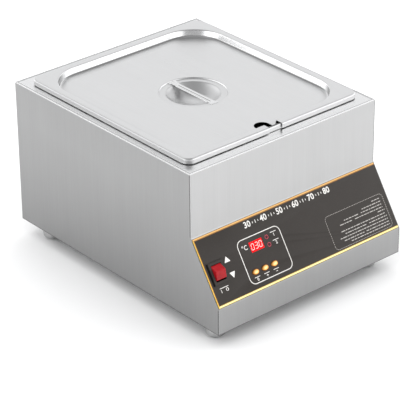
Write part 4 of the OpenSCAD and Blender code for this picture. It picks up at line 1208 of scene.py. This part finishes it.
DEEP = 17.5
LEDGE = LID_FLOOR - 1.9
DISH_R = 41.0
RING_R = 51.0
cap_h = DEEP - 1.9
cap_r = (DISH_R ** 2 + cap_h ** 2) / (2 * cap_h)
cap_a = math.asin(DISH_R / cap_r)
cap = [(cap_r * math.sin(cap_a * i / 18), LID_FLOOR + cap_r - DEEP - cap_r * math.cos(cap_a * i / 18)) for i in range(18, 0, -1)]
ring_path = smooth_steps((56.0, LID_FLOOR), (RING_R, LID_FLOOR), (RING_R - 0.9, LEDGE), 0.75)
ring_path += smooth_steps((RING_R, LID_FLOOR), (RING_R - 0.9, LEDGE), (DISH_R, LEDGE), 0.6)
ring_path += [(46.0, LEDGE)]
ring_path += smooth_steps((RING_R - 0.9, LEDGE), (DISH_R, LEDGE), cap[2], 1.2)
ring_path += cap[1:]
for r_, z_ in ring_path:
    lid_loops.append(circle_loop(r_, z_, N))
lid = shell("lid_sheet", lid_loops, 0.8)
# The spoon notch: a keyhole from the floor out through the wall, the flange and the skirt.
keyhole = [(-12.0, -190.0 + PAN_Y), (12.0, -190.0 + PAN_Y), (12.0, -150.0 + PAN_Y)]
keyhole += [(12.0 * math.cos(math.radians(180 * i / 24)), -150.0 + PAN_Y + 12.0 * math.sin(math.radians(180 * i / 24))) for i in range(1, 24)]
keyhole += [(-12.0, -150.0 + PAN_Y)]
keycut = prism(keyhole, 245.0, 270.0, Matrix.Identity(4))
tidy(keycut)
lid = cut(lid, [keycut], "lid")
put("lid_pressed", to_mesh("lid_pressed", lid), LID, "lid_group", ["lid", "lid_dish"], smooth=38)

# ---------------------------------------------------------------- lid handle
ZF = LID_FLOOR
handle_parts = []
channel = fillet([(-5.0, ZF - 4.7), (-3.9, ZF - 4.7), (-3.9, ZF - 1.75), (3.9, ZF - 1.75), (3.9, ZF - 4.7), (5.0, ZF - 4.7), (5.0, ZF - 0.52), (-5.0, ZF - 0.52)],
                 [0.3, 0.3, 0.5, 0.5, 0.3, 0.3, 1.3, 1.3], 6)
bar_loops = []
for y in (-36.0, -35.7, 35.7, 36.0):
    src = channel if abs(y) < 35.8 else inset_loop(channel, 0.2)
    bar_loops.append([(x, y + PAN_Y, z) for x, z in src])
handle_parts.append(from_loops(bar_loops, True, True))
for s in (-1, 1):
    # From the channel's end the strip widens into a tab that lies on the dish's ledge.
    sect = []
    for y, w, z0, z1 in ((35.5, 4.9, -1.75, -0.55), (41.0, 4.9, -1.75, -0.55), (42.3, 5.4, -1.78, -0.54), (43.2, 6.7, -1.8, -0.53),
                         (44.2, 7.0, -1.82, -0.52), (47.6, 7.0, -1.82, -0.52), (48.6, 6.5, -1.82, -0.52), (49.1, 5.4, -1.78, -0.56)):
        sect.append([(x, PAN_Y + s * y, ZF + z) for x, z in fillet([(-w, z0), (w, z0), (w, z1), (-w, z1)], 0.42, 4)])
    handle_parts.append(from_loops(sect, True, True))
handle = join(handle_parts)
tidy(handle)
put("handle_bar", to_mesh("handle_bar", handle), HANDLE, "lid_group", ["lid_handle"])

# ---------------------------------------------------------------- feet
FEET = [(-148.5, -199.5), (148.5, -199.5), (-148.5, 178.5), (148.5, 178.5)]
foot_profile = [(3.2, 26.0), (13.9, 26.0), (14.3, 25.6), (14.3, 21.6), (13.95, 21.2), (13.95, 20.4), (14.3, 20.0), (14.5, 19.6), (14.5, 5.0)]
foot_profile += [(11.0 + 3.5 * math.cos(math.radians(a)), 5.0 + 3.5 * math.sin(math.radians(a))) for a in range(-15, -91, -15)]
foot_profile += [(10.3, 1.5), (10.1, 1.7), (10.1, 4.6), (6.0, 4.6), (6.0, 10.0), (3.2, 10.0)]
feet = lathe(foot_profile, FEET, 72)
put("feet", to_mesh("feet", feet), FOOT, "casing", ["foot_cups"], smooth=30)
dress("foot_pads", RUBBER, 0.3, 2)
dress("foot_screws", ZINC, 0.25, 2)
dress("foot_nuts", ZINC, 0.25, 2)

# ---------------------------------------------------------------- the rest keeps its CAD shape
dress("well_tank", WELL)
dress("well_studs", ZINC)
dress("stud_nuts", ZINC, 0.25, 2)
dress("insulation_wrap", FIBRE)
dress("insulation_pad", FIBRE, 1.2, 3)
dress("heat_shield", SHIELD, 0.25, 2)
dress("heating_element", SHEATH)
dress("heater_clamp_bars", ZINC, 0.2, 2)
dress("temperature_sensor", SHIELD)
dress("sensor_clip", ZINC)
dress("thermal_cutout", BLACK, 0.2, 2)
dress("control_board", BOARD)
dress("board_standoffs", BRASS)
dress("board_screws", ZINC)
dress("display_module", DIGIT_BODY, 0.25, 2)
dress("tact_switches", TACT, 0.2, 2)
dress("heater_relay", RELAY, 0.4, 3)
dress("board_transformer", YELLOW, 0.4, 3)
dress("board_connectors", IVORY, 0.2, 2)
dress("terminal_block", IVORY, 0.3, 2)
dress("earth_stud", BRASS)
dress("wiring_harness", WIRE)
dress("switch_contacts", BRASS)
dress("switch_terminals", BRASS)
dress("gland_body", BLACK, 0.35, 3)
dress("gland_locknut", BLACK, 0.35, 2)
dress("gland_seal", RUBBER, 0.3, 2)
dress("gland_dome_nut", BLACK, 0.4, 3)

# ---------------------------------------------------------------- floor, light, camera's surroundings
floor_bm = bmesh.new()
bmesh.ops.create_grid(floor_bm, x_segments=8, y_segments=8, size=30.0)
floor_me = to_mesh("floor", floor_bm)
floor = bpy.data.objects.new("floor", floor_me)
scene.collection.objects.link(floor)
floor_me.materials.append(floor_paper("floor_paper"))

world = bpy.data.worlds.new("studio")
scene.world = world
world.use_nodes = True
wt = world.node_tree
wt.nodes.clear()
w_out = wt.nodes.new("ShaderNodeOutputWorld")
w_bg = wt.nodes.new("ShaderNodeBackground")
w_dir = wt.nodes.new("ShaderNodeTexCoord")


def w_math(op, a, b=None, cls="ShaderNodeMath"):
    n = wt.nodes.new(cls)
    n.operation = op
    for i, x in enumerate((a, b)):
        if x is None:
            continue
        if isinstance(x, (int, float, tuple)):
            n.inputs[i].default_value = x
        else:
            wt.links.new(x, n.inputs[i])
    return n.outputs["Value"] if "Value" in n.outputs else n.outputs[0]


def w_span(value, a, b, c, d, soft=True):
    n = wt.nodes.new("ShaderNodeMapRange")
    n.interpolation_type = "SMOOTHSTEP" if soft else "LINEAR"
    for key, x in zip(("From Min", "From Max", "To Min", "To Max"), (a, b, c, d)):
        if isinstance(x, (int, float)):
            n.inputs[key].default_value = x
        else:
            wt.links.new(x, n.inputs[key])
    wt.links.new(value, n.inputs["Value"])
    return n.outputs["Result"]


# A dim room with a tall soft wall of light on either side of the camera and a third behind the object.
w_vec = wt.nodes.new("ShaderNodeVectorMath")
w_vec.operation = "NORMALIZE"
wt.links.new(w_dir.outputs["Generated"], w_vec.inputs[0])
w_sep = wt.nodes.new("ShaderNodeSeparateXYZ")
wt.links.new(w_vec.outputs[0], w_sep.inputs[0])
w_z = w_sep.outputs["Z"]
flank = w_math("ABSOLUTE", w_math("DOT_PRODUCT", w_vec.outputs[0], (0.7565, -0.6539, 0.0), "ShaderNodeVectorMath"))
behind = w_math("DOT_PRODUCT", w_vec.outputs[0], (0.5728, 0.6689, 0.4738), "ShaderNodeVectorMath")
room = w_span(w_z, 0.0, 0.30, 0.46, 0.34)
walls = w_span(w_z, 0.05, 0.50, 2.3, 1.25)
lit = w_span(flank, 0.37, 0.78, room, walls)
lit = w_span(behind, 0.84, 0.965, lit, 1.0)
wt.links.new(lit, w_bg.inputs["Strength"])
w_bg.inputs["Color"].default_value = (0.985, 0.99, 1.0, 1.0)
wt.links.new(w_bg.outputs[0], w_out.inputs["Surface"])


def softbox(name, place, target, size, power, tint=(1, 1, 1)):
    data = bpy.data.lights.new(name, "AREA")
    data.shape = "RECTANGLE"
    data.size, data.size_y = size
    data.energy = power
    data.color = tint
    ob = bpy.data.objects.new(name, data)
    scene.collection.objects.link(ob)
    d = Vector(target) - Vector(place)
    ob.location = place
    ob.rotation_mode = "QUATERNION"
    ob.rotation_quaternion = d.to_track_quat("-Z", "Y")
    return ob


overhead = softbox("overhead", (0, 0, 3.0), (0, 0, 0), (6.5, 6.5), 178.0)
overhead.visible_glossy = False
